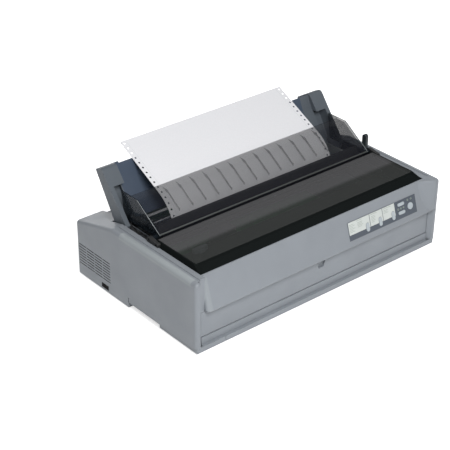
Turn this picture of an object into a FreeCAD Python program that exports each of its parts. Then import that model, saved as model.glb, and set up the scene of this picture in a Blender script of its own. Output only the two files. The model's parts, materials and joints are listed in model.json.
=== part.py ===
import FreeCAD, Part
import math
import os

# A wide-carriage dot matrix printer, loaded with a sheet of sprocket-holed paper.
# Lengths are in millimetres: X to the right, Y to the back, Z up from the desk.
# Everything is drawn about the middle of the case, and moved sideways by half the
# knob's reach when it is written, so the origin lies under the middle of the whole.

# Casing as a whole
case_width = 620.0
case_depth = 368.0
case_height = 150.0
case_wall = 2.6
case_round = 7.0
foot_height = 3.5
fit_gap = 0.3
overrun = 4.0
shaft_clearance = 0.05

half_width = case_width / 2
half_depth = case_depth / 2

# Lower case
seam_height = 14.0
rear_seam_height = 24.0
floor_wall = 3.0
base_inset = 3.5
base_front_inset = 4.0
grip_inset = 26.0
grip_front = 113.0
grip_length = 89.0
front_strip_height = 28.6
front_strip_setback = 10.5
strip_groove = 1.2
strip_groove_left_edge = 69.0
strip_groove_right_edge = 91.0
rear_taper = 3.0
rear_taper_height = 18.0
boss_radius = 5.0
boss_edge = 14.0
boss_front = 34.0
boss_rear = 30.0
screw_radius = 1.75
screw_head_radius = 3.6
screw_head_height = 2.4
screw_length = 26.0
screw_edge_clearance = 0.25
foot_radius = 9.0
foot_edge = 42.0
foot_front = 30.0

# Upper case
column_setback = 2.0
column_width = 10.0
column_chamfer = 7.0
column_return = 32.0
rim_width = 28.0
rim_front = 24.0
lip_depth = 32.0
frame_gate = 10.0
ledge_width = 4.0
ledge_drop = 2.0
ledge_height = 2.5
slope_length = 116.0
deck_rear_height = 118.0
deck_inset = 12.0
deck_drop = 8.2
deck_shelf_gap = 20.0
rim_groove = 6.0
rim_groove_depth = 1.2
rim_groove_inset = 14.0
vent_count = 8
vent_height = 1.8
vent_pitch = 6.0
vent_length = 102.0
vent_rear = 7.0
vent_low = 28.0
vent_bridge = 1.6
vent_bays = 4

# Front bezel, part of the upper case
bezel_inset = 26.0
bezel_top = 2.0
bezel_low = 81.0
bezel_end_wall = 6.0
bezel_round = 8.0
bezel_lip_round = 3.0
bezel_return = 16.0

# Front cover below the bezel
cover_setback = 12.0
cover_edge_gap = 1.6
cover_low = 30.0
cover_top_gap = 0.6
cover_pin_radius = 2.0
cover_pin_back = 4.0
cover_pin_rise = 3.0
notch_top = 24.0
notch_low = 13.0
notch_height = 20.0
notch_depth = 4.0

# Printer cover
lid_wall = 2.4
lid_rise = 8.8
lid_skirt_drop = 1.7
lid_rear_y = -29.5
lid_front_slope = 13.6
lid_side_slope = 4.5
lid_corner = 12.0
lid_low_corner = 2.0
lid_pin_radius = 2.5
lid_pin_y = -35.0
lid_pin_z = 152.5
lid_arm_width = 8.0
lid_arm_front = 5.0
lid_notch = 8.5
lid_rib_setback = 12.0
lid_rib_depth = 3.0

# Separator cover, the ribbed hood behind the printer cover
hood_inset = 16.0
hood_wall = 2.4
hood_front_y = -24.0
hood_front_z = 160.5
hood_top_y = 44.0
hood_top_z = 205.4
hood_lip_y = 65.0
hood_side_y = 93.0
hood_side_low = 152.0
hood_pin_radius = 2.5
hood_pin_y = -15.0
hood_pin_z = 156.0
hood_boss_radius = 4.2
hood_boss_gap = 0.7
hinge_block_width = 4.5
hinge_block_margin = 6.0
hinge_block_cap = 5.0
hinge_block_chamfer = 2.5
hinge_block_low = 144.0
rib_count = 13
rib_edge = 76.4
rib_thickness = 1.5
rib_clearance = 3.0
rib_depth = 9.0
rib_front_y = 9.0
tear_bar_width = 1.8
tear_bar_thickness = 1.0

# Paper guide that leans over the back
guide_inset = 2.0
guide_deck_gap = 25.0
guide_slab_width = 34.0
guide_cheek_width = 9.5
guide_pivot_y = 80.0
guide_pivot_z = 128.0
guide_pin_radius = 3.0
guide_notch_z = 208.0
guide_foot_front_y = 60.0
guide_foot_rear_y = 99.0
guide_foot_z = 146.0
guide_tip_front_y = 134.0
guide_tip_front_z = 240.0
guide_tip_rear_y = 152.0
guide_tip_rear_z = 231.0
guide_heel_half = 10.0
guide_heel_z = 121.0
guide_round = 9.0
guide_plate = 2.5
guide_plate_low_y = 74.0
guide_plate_low_z = 150.0
guide_plate_sag = 7.0
guide_plate_gap = 0.5
guide_rib_count = 7
guide_rib_depth = 7.0
guide_rib_thickness = 2.0
guide_web = 3.0
guide_web_reach = 16.0

# Paper path
path_centre = -4.6
paper_inset = 58.8
paper_thickness = 0.4
hole_pitch = 12.7
hole_radius = 2.0
hole_edge = 6.35
hole_rows = 22
exit_angle = 26.3
exit_hole_y = 167.2
exit_hole_z = 252.7
exit_bend = 80.0
feed_angle = 12.0

# Platen
platen_y = 26.0
platen_z = 117.0
platen_radius = 16.0
platen_end_gap = 47.0
platen_shaft_radius = 4.0
knob_reach = 18.0
knob_radius = 15.0
knob_ribs = 18
knob_gap = 1.0
knob_rib_depth = 1.2
knob_recess = 5.0

# Gears of the paper feed, outside the left frame
gear_module = 1.0
platen_teeth = 40
idler_teeth = 64
tractor_teeth = 40
pinion_teeth = 12
gear_width = 5.0
gear_side_gap = 1.5
pinion_angle = -110.0
root_half_share = 0.50
pitch_half_share = 0.40
tip_half_share = 0.22
root_depth_share = 1.25
tip_height_share = 0.90

# Tractors
tractor_y = 128.0
tractor_z = 100.5
tractor_nose = 28.0
tractor_rod_radius = 4.0
tractor_bar = 8.0
tractor_bar_hole = 6.4
belt_radius = 10.5
belt_thickness = 1.2
belt_half_width = 4.0
belt_side_gap = 0.6
tractor_outer = 12.5
tractor_inner = 8.0
tractor_hub = 6.4
tractor_overhang = 2.0
tractor_below = 12.0
pin_radius = 1.5
pin_height = 2.9
lid_gap = 0.5
lid_thickness = 3.2
lid_hinge_radius = 1.4
lid_ear = 3.6
lid_ear_width = 6.0
lock_radius = 8.5
lock_thickness = 3.2
lock_tab = 15.0
lock_tab_width = 7.0
lock_angle = -60.0

# Frame
frame_inset = 20.0
frame_sheet = 2.0
frame_front = 44.0
frame_front_z = 105.0
frame_step_y = -76.0
frame_step_run = 6.0
frame_top_z = 140.0
frame_top_rear_y = 84.0
frame_overhang = 20.0
frame_rear_z = 112.0
frame_flange = 12.0
beam_low = 62.0
beam_high = 100.0

# Carriage and its drive
rod_y = -30.0
rod_z = 85.0
rod_radius = 6.0
carriage_x = -120.0
carriage_length = 56.0
carriage_front = -54.0
carriage_rear = -12.0
carriage_low = 72.0
carriage_high = 98.0
hook_front = -67.0
hook_low = 90.0
hook_high = 105.0
hook_gap = 0.4
clamp_width = 16.0
head_width = 36.0
head_front = -44.0
head_rear = -8.0
head_high = 130.0
head_fin = 2.0
head_fin_gap = 2.6
head_fin_depth = 14.0
nose_width = 18.0
nose_low = 111.0
nose_high = 124.0
nose_gap = 0.5
rail_y = -61.0
rail_sheet = 2.0
rail_low = 70.0
rail_high = 103.0
rail_flange = 8.0
pulley_inset = 22.0
pulley_z = 50.0
pulley_radius = 9.0
pulley_front = -50.0
pulley_width = 8.0
pulley_gap = 0.3
pulley_flange = 1.6
motor_radius = 19.0
motor_length = 34.0
motor_shaft_radius = 2.5
tab_back_y = -38.0
tab_sheet = 2.0
tab_top = 57.0
tab_reach = 21.0
tab_low = 30.0

# Ribbon
ribbon_gap = 0.3
ribbon_thickness = 0.3
ribbon_height = 13.0
cartridge_inset = 12.0
cartridge_setback = 50.0
cartridge_rear = -64.0
cartridge_low = 106.0
cartridge_high = 134.0
cartridge_arm = 13.0
cartridge_arm_low = 109.0
cartridge_lug = 14.0
cartridge_lug_height = 5.0
ribbon_knob_inset = 35.0
ribbon_knob_y = -76.0
ribbon_knob_radius = 9.0
ribbon_knob_height = 8.0
ribbon_knob_wing = 34.0
ribbon_knob_stem = 3.0
cartridge_round = 5.0

# Paper tension unit over the platen
tension_inset = 7.0
tension_front = -19.0
tension_rear = 7.5
tension_low = 143.0
tension_high = 155.5
tension_step_y = -8.0
tension_crest_y = -1.0
tension_crest = 166.0
tension_foot = 9.0
tension_roller_radius = 4.0
tension_roller_length = 22.0
tension_roller_count = 6

# Levers
release_edge = 20.5
release_y = 8.0
release_pivot_z = 100.0
release_top_z = 181.0
release_thickness = 7.0
release_width = 11.0
release_stem = 3.0
release_hub = 8.0
release_swing = 16.0
slot_side_gap = 0.9
slot_end_gap = 2.0
gap_lever_y = -58.0
gap_lever_z = 118.0
gap_lever_top = 148.0
gap_lever_thickness = 3.0
gap_lever_width = 8.0
gap_lever_stem = 2.5

# Control panel
label_edge = 33.0
label_width = 184.0
label_height = 36.5
label_rise = 14.8
label_thickness = 0.8
key_proud = 1.2
key_travel = 1.2
key_gap = 0.3
key_flange = 1.0
key_flange_thickness = 1.5
key_tail = 1.6
tab_key_width = 8.0
tab_key_height = 17.5
tab_key_v = 12.6
tab_key_us = {"pitch_key": 49.5, "font_key": 84.0, "tear_off_key": 119.5}
oval_key_width = 18.0
oval_key_height = 6.6
oval_key_u = 143.0
oval_key_vs = {"load_eject_key": 28.6, "line_feed_key": 11.6}
pause_key_u = 167.3
pause_key_v = 17.4
pause_key_size = 14.0
lamp_radius = 1.1
lamp_length = 5.0
lamp_places = [(134.5, 20.1), (142.0, 20.1), (149.5, 20.1), (162.5, 31.0), (172.0, 31.0)]
board_gap = 0.2
board_thickness = 1.6
board_margin = 4.0
board_post_radius = 2.4
board_post_inset = 1.0
switch_size = 6.0
switch_height = 1.5

# Electronics and rear sockets
main_board_left_edge = 135.0
main_board_right_edge = 75.0
main_board_front = -70.0
main_board_rear = 120.0
main_board_height = 20.0
standoff_radius = 4.0
standoff_inset = 10.0
chip_height = 9.0
chip_length = 42.0
chip_width = 16.0
supply_gap = 6.0
supply_width = 30.0
supply_grip_gap = 20.0
supply_boss_gap = 5.0
supply_low = 28.0
supply_high = 74.0
supply_leg = 8.0
rocker_y = 93.0
rocker_length = 22.0
rocker_height = 9.4
rocker_z = 13.0
rocker_tilt = 7.0
rocker_depth = 12.0
rocker_rim = 1.6
rocker_body = 10.0
inlet_edge = 85.0
inlet_width = 30.0
inlet_height = 24.0
inlet_low = 30.0
inlet_depth = 20.0
inlet_wall = 3.0
inlet_blade = 2.2
inlet_blade_long = 7.0
inlet_blade_offset = 7.0
port_edge = 105.0
port_width = 62.0
port_height = 16.0
port_low = 28.0
port_depth = 16.0
port_wall = 2.4
port_tongue = 3.4
port_recess = 6.0


def point(x, y, z):
    return FreeCAD.Vector(x, y, z)


def block(x0, x1, y0, y1, z0, z1):
    return Part.makeBox(x1 - x0, y1 - y0, z1 - z0, point(x0, y0, z0))


def rod_x(radius, x0, x1, y, z):
    return Part.makeCylinder(radius, x1 - x0, point(x0, y, z), point(1, 0, 0))


def rod_y_dir(radius, y0, y1, x, z):
    return Part.makeCylinder(radius, y1 - y0, point(x, y0, z), point(0, 1, 0))


def rod_z_dir(radius, z0, z1, x, y):
    return Part.makeCylinder(radius, z1 - z0, point(x, y, z0), point(0, 0, 1))


def face_of(corners):
    return Part.Face(Part.makePolygon(corners + [corners[0]]))


def prism_x(outline, x0, x1):
    """Outline of (y, z) pairs, drawn out along X."""
    return face_of([point(x0, y, z) for y, z in outline]).extrude(point(x1 - x0, 0, 0))


def prism_z(outline, z0, z1):
    """Outline of (x, y) pairs, drawn out along Z."""
    return face_of([point(x, y, z0) for x, y in outline]).extrude(point(0, 0, z1 - z0))


def joined(shapes):
    return shapes[0].multiFuse(shapes[1:]).removeSplitter()


def mirrored(shape):
    return shape.mirror(point(0, 0, 0), point(1, 0, 0))


def both_sides(shape):
    return [shape, mirrored(shape)]


def rounded(shape, radius, chosen):
    """Fillet the edges whose middle the chosen test accepts."""
    edges = []
    for edge in shape.Edges:
        first, last = edge.Vertexes[0].Point, edge.Vertexes[-1].Point
        if chosen(first, last):
            edges.append(edge)
    return shape.makeFillet(radius, edges)


def near(a, b):
    return abs(a - b) < shaft_clearance


def capsule(width, height, z0, z1, u, v):
    """Round-ended prism on the panel's own plane, long either way."""
    radius = min(width, height) / 2
    run_u = width / 2 - radius
    run_v = height / 2 - radius
    ends = [
        Part.makeCylinder(radius, z1 - z0, point(u - run_u, v - run_v, z0)),
        Part.makeCylinder(radius, z1 - z0, point(u + run_u, v + run_v, z0)),
    ]
    if run_u > 0:
        ends.append(block(u - run_u, u + run_u, v - radius, v + radius, z0, z1))
    if run_v > 0:
        ends.append(block(u - radius, u + radius, v - run_v, v + run_v, z0, z1))
    if run_u == 0 and run_v == 0:
        return ends[0]
    return joined(ends)


# Places that several pieces share
front_y = -half_depth
column_front_y = front_y + column_setback
opening_front_y = front_y + rim_front
opening_rear_y = guide_pivot_y + guide_deck_gap
opening_half = half_width - rim_width
frame_x = opening_half - frame_inset
frame_front_y = front_y + frame_front
frame_rear_y = tractor_y + frame_overhang
deck_half_width = frame_x - deck_inset
deck_height = deck_rear_height - deck_drop
deck_strip = half_depth - tractor_y - deck_shelf_gap
hood_half_width = opening_half - hood_inset
rib_pitch = 2 * (hood_half_width - rib_edge) / (rib_count - 1)
guide_half_width = opening_half - guide_inset
platen_length = 2 * (frame_x - platen_end_gap)
pulley_x = frame_x - pulley_inset
cartridge_half = frame_x - cartridge_inset
cartridge_front = front_y + cartridge_setback
ribbon_knob_x = ribbon_knob_inset - cartridge_half
tension_half = frame_x - tension_inset
release_x = half_width - release_edge
slope_start_y = half_depth - slope_length
slope_drop = case_height - deck_rear_height
slope_angle = math.atan2(slope_drop, slope_length)
column_inner = half_width - column_width
jamb_inner = column_inner - column_chamfer
cover_face_y = front_y + cover_setback
base_half = half_width - base_inset
base_front_y = front_y + base_front_inset
grip_front_y = front_y + grip_front
grip_rear_y = grip_front_y + grip_length
floor_top = foot_height + floor_wall
bezel_half = half_width - bezel_inset
label_left = bezel_half - label_edge - label_width
strip_groove_left = half_width - strip_groove_left_edge
strip_groove_right = half_width - strip_groove_right_edge
main_board_left = main_board_left_edge - half_width
main_board_right = half_width - main_board_right_edge
inlet_x = inlet_edge - half_width
port_x = half_width - port_edge
boss_x = half_width - boss_edge
boss_front_y = front_y + boss_front
boss_rear_y = half_depth - boss_rear
supply_front = grip_rear_y + supply_grip_gap
supply_length = boss_rear_y - boss_radius - supply_boss_gap - supply_front
lip_outer = opening_half + case_wall
hinge_block_inner = opening_half - hinge_block_width
hinge_pin_end = lip_outer - case_wall / 2
paper_width = 2 * (frame_x - paper_inset)
paper_left = path_centre - paper_width / 2
hole_columns = [path_centre - paper_width / 2 + hole_edge, path_centre + paper_width / 2 - hole_edge]


# Bezel plane, and the panel drawn on it
bezel_run = rim_front - bezel_top
bezel_fall = case_height - bezel_low
bezel_tilt = math.atan2(bezel_fall, bezel_run)


def on_bezel(shape):
    """Turn a shape from the panel's plane to the bezel's sloping face."""
    turn = FreeCAD.Rotation(point(1, 0, 0), math.degrees(bezel_tilt))
    foot = point(
        label_left,
        front_y + label_rise * math.cos(bezel_tilt),
        bezel_low + label_rise * math.sin(bezel_tilt),
    )
    placed = shape.copy()
    placed.Placement = FreeCAD.Placement(foot, turn).multiply(placed.Placement)
    return placed


def key_outlines():
    """Name, width, height and place of each key on the panel."""
    keys = []
    for name, u in tab_key_us.items():
        keys.append((name, tab_key_width, tab_key_height, u, tab_key_v))
    for name, v in oval_key_vs.items():
        keys.append((name, oval_key_width, oval_key_height, oval_key_u, v))
    keys.append(("pause_key", pause_key_size, pause_key_size, pause_key_u, pause_key_v))
    return keys


def panel_holes(z0, z1):
    """Cutters for every key and lamp between two levels of the panel."""
    cutters = []
    for name, width, height, u, v in key_outlines():
        cutters.append(capsule(width + 2 * key_gap, height + 2 * key_gap, z0, z1, u, v))
    for u, v in lamp_places:
        cutters.append(Part.makeCylinder(lamp_radius + shaft_clearance, z1 - z0, point(u, v, z0)))
    return cutters


# Paper path: straight runs and arcs in the YZ plane, from the leading edge down
# and round the platen, to a tail that has left the tractors.
wrap_radius = platen_radius + fit_gap + paper_thickness / 2
exit_slope = math.radians(exit_angle)
feed_slope = math.radians(feed_angle)
platen_front_y = platen_y - wrap_radius
bend_y = platen_front_y + exit_bend
bend_start_y = bend_y - exit_bend * math.sin(exit_slope)
bend_z = (
    exit_hole_z
    - (exit_hole_y - bend_start_y) * math.tan(exit_slope)
    - exit_bend * math.cos(exit_slope)
)
paper_z = tractor_z + belt_radius + fit_gap + paper_thickness / 2
page_length = hole_rows * hole_pitch


def page_path():
    """Segments as (kind, values, length); a direction of travel runs through them."""
    tip_y = exit_hole_y + hole_pitch / 2 * math.cos(exit_slope)
    tip_z = exit_hole_z + hole_pitch / 2 * math.sin(exit_slope)
    start_z = bend_z + exit_bend * math.cos(exit_slope)
    leave_y = platen_y + wrap_radius * math.sin(feed_slope)
    leave_z = platen_z - wrap_radius * math.cos(feed_slope)
    segments = [
        ("line", (tip_y, tip_z), (bend_start_y, start_z)),
        ("arc", (bend_y, bend_z), exit_bend, math.pi / 2 + exit_slope, math.pi),
        ("line", (platen_front_y, bend_z), (platen_front_y, platen_z)),
        ("arc", (platen_y, platen_z), wrap_radius, math.pi, 3 * math.pi / 2 + feed_slope),
    ]
    tail = page_length - sum(segment_length(segment) for segment in segments)
    tail_end = (leave_y + tail * math.cos(feed_slope), leave_z + tail * math.sin(feed_slope))
    segments.append(("line", (leave_y, leave_z), tail_end))
    return segments


def segment_length(segment):
    if segment[0] == "line":
        return math.dist(segment[1], segment[2])
    return segment[2] * abs(segment[4] - segment[3])


def on_arc(centre, radius, angle):
    return (centre[0] + radius * math.cos(angle), centre[1] + radius * math.sin(angle))


def path_point(distance):
    """Place and unit normal of the path at a distance from its leading edge."""
    for segment in page_path():
        length = segment_length(segment)
        if distance <= length:
            break
        distance -= length
    if segment[0] == "line":
        (y0, z0), (y1, z1) = segment[1], segment[2]
        share = distance / length
        place = (y0 + (y1 - y0) * share, z0 + (z1 - z0) * share)
        return place, (-(z1 - z0) / length, (y1 - y0) / length)
    centre, radius, start, end = segment[1:]
    angle = start + (end - start) * distance / length
    return on_arc(centre, radius, angle), (math.cos(angle), math.sin(angle))


def path_side(offset):
    """Edges of the path moved sideways; an arc bends towards its own centre."""
    edges = []
    for segment in page_path():
        if segment[0] == "line":
            (y0, z0), (y1, z1) = segment[1], segment[2]
            length = segment_length(segment)
            side_y = (z1 - z0) / length * offset
            side_z = -(y1 - y0) / length * offset
            first = point(0, y0 + side_y, z0 + side_z)
            last = point(0, y1 + side_y, z1 + side_z)
            edges.append(Part.LineSegment(first, last).toShape())
        else:
            centre, radius, start, end = segment[1:]
            turn = 1 if end > start else -1
            moved = radius + turn * offset
            places = [on_arc(centre, moved, start + (end - start) * part / 2) for part in range(3)]
            places = [point(0, y, z) for y, z in places]
            edges.append(Part.Arc(*places).toShape())
    return edges


def paper_page():
    left_side = path_side(paper_thickness / 2)
    right_side = path_side(-paper_thickness / 2)
    lead = Part.LineSegment(left_side[0].Vertexes[0].Point, right_side[0].Vertexes[0].Point)
    tail = Part.LineSegment(left_side[-1].Vertexes[-1].Point, right_side[-1].Vertexes[-1].Point)
    outline = Part.Wire(Part.__sortEdges__(left_side + right_side + [lead.toShape(), tail.toShape()]))
    sheet = Part.Face(outline).extrude(point(paper_width, 0, 0))
    sheet.translate(point(paper_left, 0, 0))
    punches = []
    for row in range(hole_rows):
        (y, z), (normal_y, normal_z) = path_point((row + 1 / 2) * hole_pitch)
        for x in hole_columns:
            start = point(x, y - normal_y * overrun / 2, z - normal_z * overrun / 2)
            punches.append(Part.makeCylinder(hole_radius, overrun, start, point(0, normal_y, normal_z)))
    return sheet.cut(Part.makeCompound(punches))


def belt_pin_ys():
    """Depths of the pins on the flat top of a tractor belt."""
    middle = tractor_y - tractor_nose / 2
    return [middle - hole_pitch, middle, middle + hole_pitch]


# Casing

def base_outline(inset):
    """Plan of the lower case, with the hand grips drawn in, moved in by a wall."""
    front = base_front_y + inset
    rear = half_depth - inset
    grip_front_edge = grip_front_y - inset
    grip_rear_edge = grip_rear_y + inset
    right = [
        (base_half - inset, front),
        (base_half - inset, grip_front_edge),
        (half_width - grip_inset - inset, grip_front_edge),
        (half_width - grip_inset - inset, grip_rear_edge),
        (half_width - inset, grip_rear_edge),
        (half_width - inset, rear),
    ]
    left = [(-x, y) for x, y in reversed(right)]
    return right + left


def boss_places():
    return [(side * boss_x, y) for side in (-1, 1) for y in (boss_front_y, boss_rear_y)]


def lower_case():
    tray = prism_z(base_outline(0), foot_height, seam_height)
    rear_box = block(-half_width, half_width, grip_rear_y, half_depth, foot_height, rear_seam_height)
    tray = joined([tray, rear_box])
    tray = rounded(
        tray,
        case_round,
        lambda a, b: near(a.x, b.x) and near(a.y, b.y) and near(abs(a.x), half_width)
        and a.y > half_depth - overrun,
    )
    tray = tray.cut(prism_z(base_outline(case_wall), floor_top, seam_height + overrun))
    rear_room = block(
        -half_width + case_wall,
        half_width - case_wall,
        grip_rear_y + case_wall,
        half_depth - case_wall,
        floor_top,
        rear_seam_height + overrun,
    )
    step_room = block(
        -half_width - overrun,
        half_width + overrun,
        grip_rear_y - overrun,
        grip_rear_y + case_wall,
        seam_height,
        rear_seam_height + overrun,
    )
    tray = tray.cut(rear_room).cut(step_room)
    strip_y = front_y + front_strip_setback
    strip = block(
        -jamb_inner + cover_edge_gap,
        jamb_inner - cover_edge_gap,
        strip_y,
        strip_y + case_wall,
        foot_height,
        front_strip_height,
    )
    ledge = block(
        -jamb_inner + cover_edge_gap,
        jamb_inner - cover_edge_gap,
        base_front_y + case_wall / 2,
        strip_y + case_wall / 2,
        seam_height - case_wall,
        seam_height,
    )
    pieces = [tray, strip, ledge]
    for x, y in boss_places():
        pieces.append(rod_z_dir(boss_radius, foot_height, seam_height, x, y).common(
            prism_z(base_outline(0), foot_height, seam_height)))
    for x, y in standoff_places():
        pieces.append(rod_z_dir(standoff_radius, floor_top, main_board_height, x, y))
    tray = joined(pieces)
    wedge = prism_x(
        [
            (half_depth, rear_taper_height),
            (half_depth + overrun, rear_taper_height),
            (half_depth + overrun, 0),
            (half_depth - rear_taper, 0),
        ],
        -half_width - overrun,
        half_width + overrun,
    )
    cutters = [wedge]
    for x in (-strip_groove_left, strip_groove_right):
        cutters.append(block(
            x,
            x + strip_groove,
            base_front_y - overrun,
            base_front_y + strip_groove,
            0,
            front_strip_height / 2,
        ))
    for x, y in boss_places():
        cutters.append(rod_z_dir(screw_radius + screw_edge_clearance, 0, seam_height + overrun, x, y))
        head_hole = screw_head_radius + screw_edge_clearance
        cutters.append(rod_z_dir(head_hole, 0, foot_height + screw_head_height, x, y))
    window = block(
        -half_width - overrun,
        -half_width + case_wall + overrun,
        rocker_y - rocker_length / 2 - fit_gap,
        rocker_y + rocker_length / 2 + fit_gap,
        rocker_z - rocker_height / 2 - fit_gap,
        rocker_z + rocker_height / 2 + fit_gap,
    )
    cutters.append(window)
    return tray.cut(Part.makeCompound(cutters))


def case_block(inset, low):
    """Side profile of the upper case across its whole width, moved in by a wall."""
    slope_cut = inset / math.cos(slope_angle)
    rear_top = deck_rear_height - slope_cut + inset * math.tan(slope_angle)
    outline = [
        (column_front_y + inset, low),
        (column_front_y + inset, case_height - inset),
        (slope_start_y, case_height - inset),
        (half_depth - inset, rear_top),
        (half_depth - inset, low),
    ]
    side = half_width - inset
    solid = prism_x(outline, -side, side)
    radius = case_round - inset

    def outer_edge(a, b):
        if near(a.z, low) and near(b.z, low):
            return False
        along_side = near(abs(a.x), side) and near(a.x, b.x)
        across_top = near(a.y, b.y) and near(a.z, b.z) and not near(a.y, slope_start_y)
        return along_side or across_top

    return rounded(solid, radius, outer_edge)


def bezel_shell():
    """Sloping front panel with rounded ends, hollow behind."""
    outer = prism_x(
        [
            (opening_front_y, case_height),
            (front_y + bezel_run, case_height),
            (front_y, bezel_low),
            (opening_front_y, bezel_low),
        ],
        -bezel_half,
        bezel_half,
    )
    outer = rounded(
        outer,
        bezel_round,
        lambda a, b: near(abs(a.x), bezel_half) and near(a.x, b.x) and not near(a.z, b.z)
        and a.y + b.y < 2 * opening_front_y - bezel_top,
    )
    outer = rounded(
        outer,
        bezel_lip_round,
        lambda a, b: near(a.z, bezel_low) and near(b.z, bezel_low) and near(a.y, b.y) and near(a.y, front_y),
    )
    slant = case_wall / math.sin(bezel_tilt)
    run_share = bezel_run / bezel_fall
    low_in = bezel_low + case_wall
    wall_in = opening_front_y - case_wall
    apex_z = bezel_low + (wall_in - front_y - slant) / run_share
    room = prism_x(
        [
            (wall_in, apex_z),
            (front_y + case_wall * run_share + slant, low_in),
            (opening_front_y + overrun, low_in),
            (opening_front_y + overrun, case_height - bezel_return),
            (wall_in, case_height - bezel_return),
        ],
        -bezel_half + bezel_end_wall,
        bezel_half - bezel_end_wall,
    )
    return outer.cut(room)


def jamb_walls():
    """Inward faces of the two front columns, beside the front cover."""
    walls = []
    outline = [
        (column_inner, column_front_y),
        (column_inner + case_wall, column_front_y),
        (jamb_inner + case_wall, cover_face_y),
        (jamb_inner + case_wall, cover_face_y + column_return),
        (jamb_inner, cover_face_y + column_return),
        (jamb_inner, cover_face_y),
    ]
    wall = prism_z(outline, seam_height, case_height - case_wall)
    hole = rod_x(
        cover_pin_radius + shaft_clearance,
        jamb_inner - overrun,
        jamb_inner + case_wall + overrun,
        cover_face_y + cover_pin_back,
        cover_low + cover_pin_rise,
    )
    return both_sides(wall.cut(hole))


def shoulders():
    """Narrow faces between each column and the end of the sloping front panel."""
    return both_sides(block(
        bezel_half - case_wall,
        jamb_inner + case_wall,
        cover_face_y,
        cover_face_y + case_wall,
        bezel_low,
        case_height - case_wall / 2,
    ))


def rim_walls(outer):
    """Lips that hang down inside the big top opening, and ledges for its cover."""
    shapes = []
    lip = block(
        opening_half, lip_outer, opening_front_y, opening_rear_y, case_height - lip_depth, case_height)
    shapes += both_sides(lip.common(outer))
    ledge = block(
        opening_half - ledge_width,
        opening_half,
        opening_front_y,
        lid_pin_y - lid_notch - fit_gap,
        case_height - ledge_drop - ledge_height,
        case_height - ledge_drop,
    )
    shapes += both_sides(ledge)
    shapes += both_sides(hinge_block())
    back = block(
        frame_x + frame_gate,
        lip_outer,
        opening_rear_y,
        opening_rear_y + case_wall,
        case_height - lip_depth,
        case_height,
    )
    shapes += both_sides(back.common(outer))
    return shapes


def hinge_block():
    """Block on the rim that carries one end of both front covers' hinges."""
    front = lid_pin_y - hinge_block_margin
    rear = hood_pin_y + hinge_block_margin
    low_top = lid_pin_z + hinge_block_cap
    high_top = hood_pin_z + hinge_block_cap
    outline = [
        (front, hinge_block_low),
        (front, low_top - hinge_block_chamfer),
        (front + hinge_block_chamfer, low_top),
        (lid_pin_y + hinge_block_chamfer, low_top),
        (hood_pin_y - hinge_block_chamfer, high_top),
        (rear - hinge_block_chamfer, high_top),
        (rear, high_top - hinge_block_chamfer),
        (rear, hinge_block_low),
    ]
    return prism_x(outline, hinge_block_inner, lip_outer)


def cover_pin_holes():
    """Bores for the pins of the two front covers and the paper guide."""
    holes = []
    for radius, y, z in (
        (lid_pin_radius, lid_pin_y, lid_pin_z),
        (hood_pin_radius, hood_pin_y, hood_pin_z),
        (guide_pin_radius, guide_pivot_y, guide_pivot_z),
    ):
        first = hinge_block_inner - overrun
        hole = rod_x(radius + shaft_clearance, first, lip_outer + shaft_clearance, y, z)
        holes += both_sides(hole)
    return holes


def rear_deck(outer):
    """Lowered shelf that the paper comes in over, and the steps at its ends."""
    shelf = block(
        -deck_half_width - case_wall,
        deck_half_width + case_wall,
        half_depth - deck_strip,
        half_depth - case_wall / 2,
        deck_height - case_wall,
        deck_height,
    )
    step = block(
        deck_half_width,
        deck_half_width + case_wall,
        opening_rear_y,
        half_depth - case_wall / 2,
        deck_height - case_wall,
        case_height,
    )
    return [shelf] + [wall.common(outer) for wall in both_sides(step)]


def vent_cutters():
    """Rows of slots near the back of the left side, with thin bridges between bays."""
    cutters = []
    bay = (vent_length - vent_bridge * (vent_bays - 1)) / vent_bays
    for row in range(vent_count):
        low = vent_low + row * vent_pitch
        for place in range(vent_bays):
            first = half_depth - vent_rear - vent_length + place * (bay + vent_bridge)
            cutters.append(block(
                -half_width - overrun,
                -half_width + case_wall + overrun,
                first,
                first + bay,
                low,
                low + vent_height,
            ))
    return cutters


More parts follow.
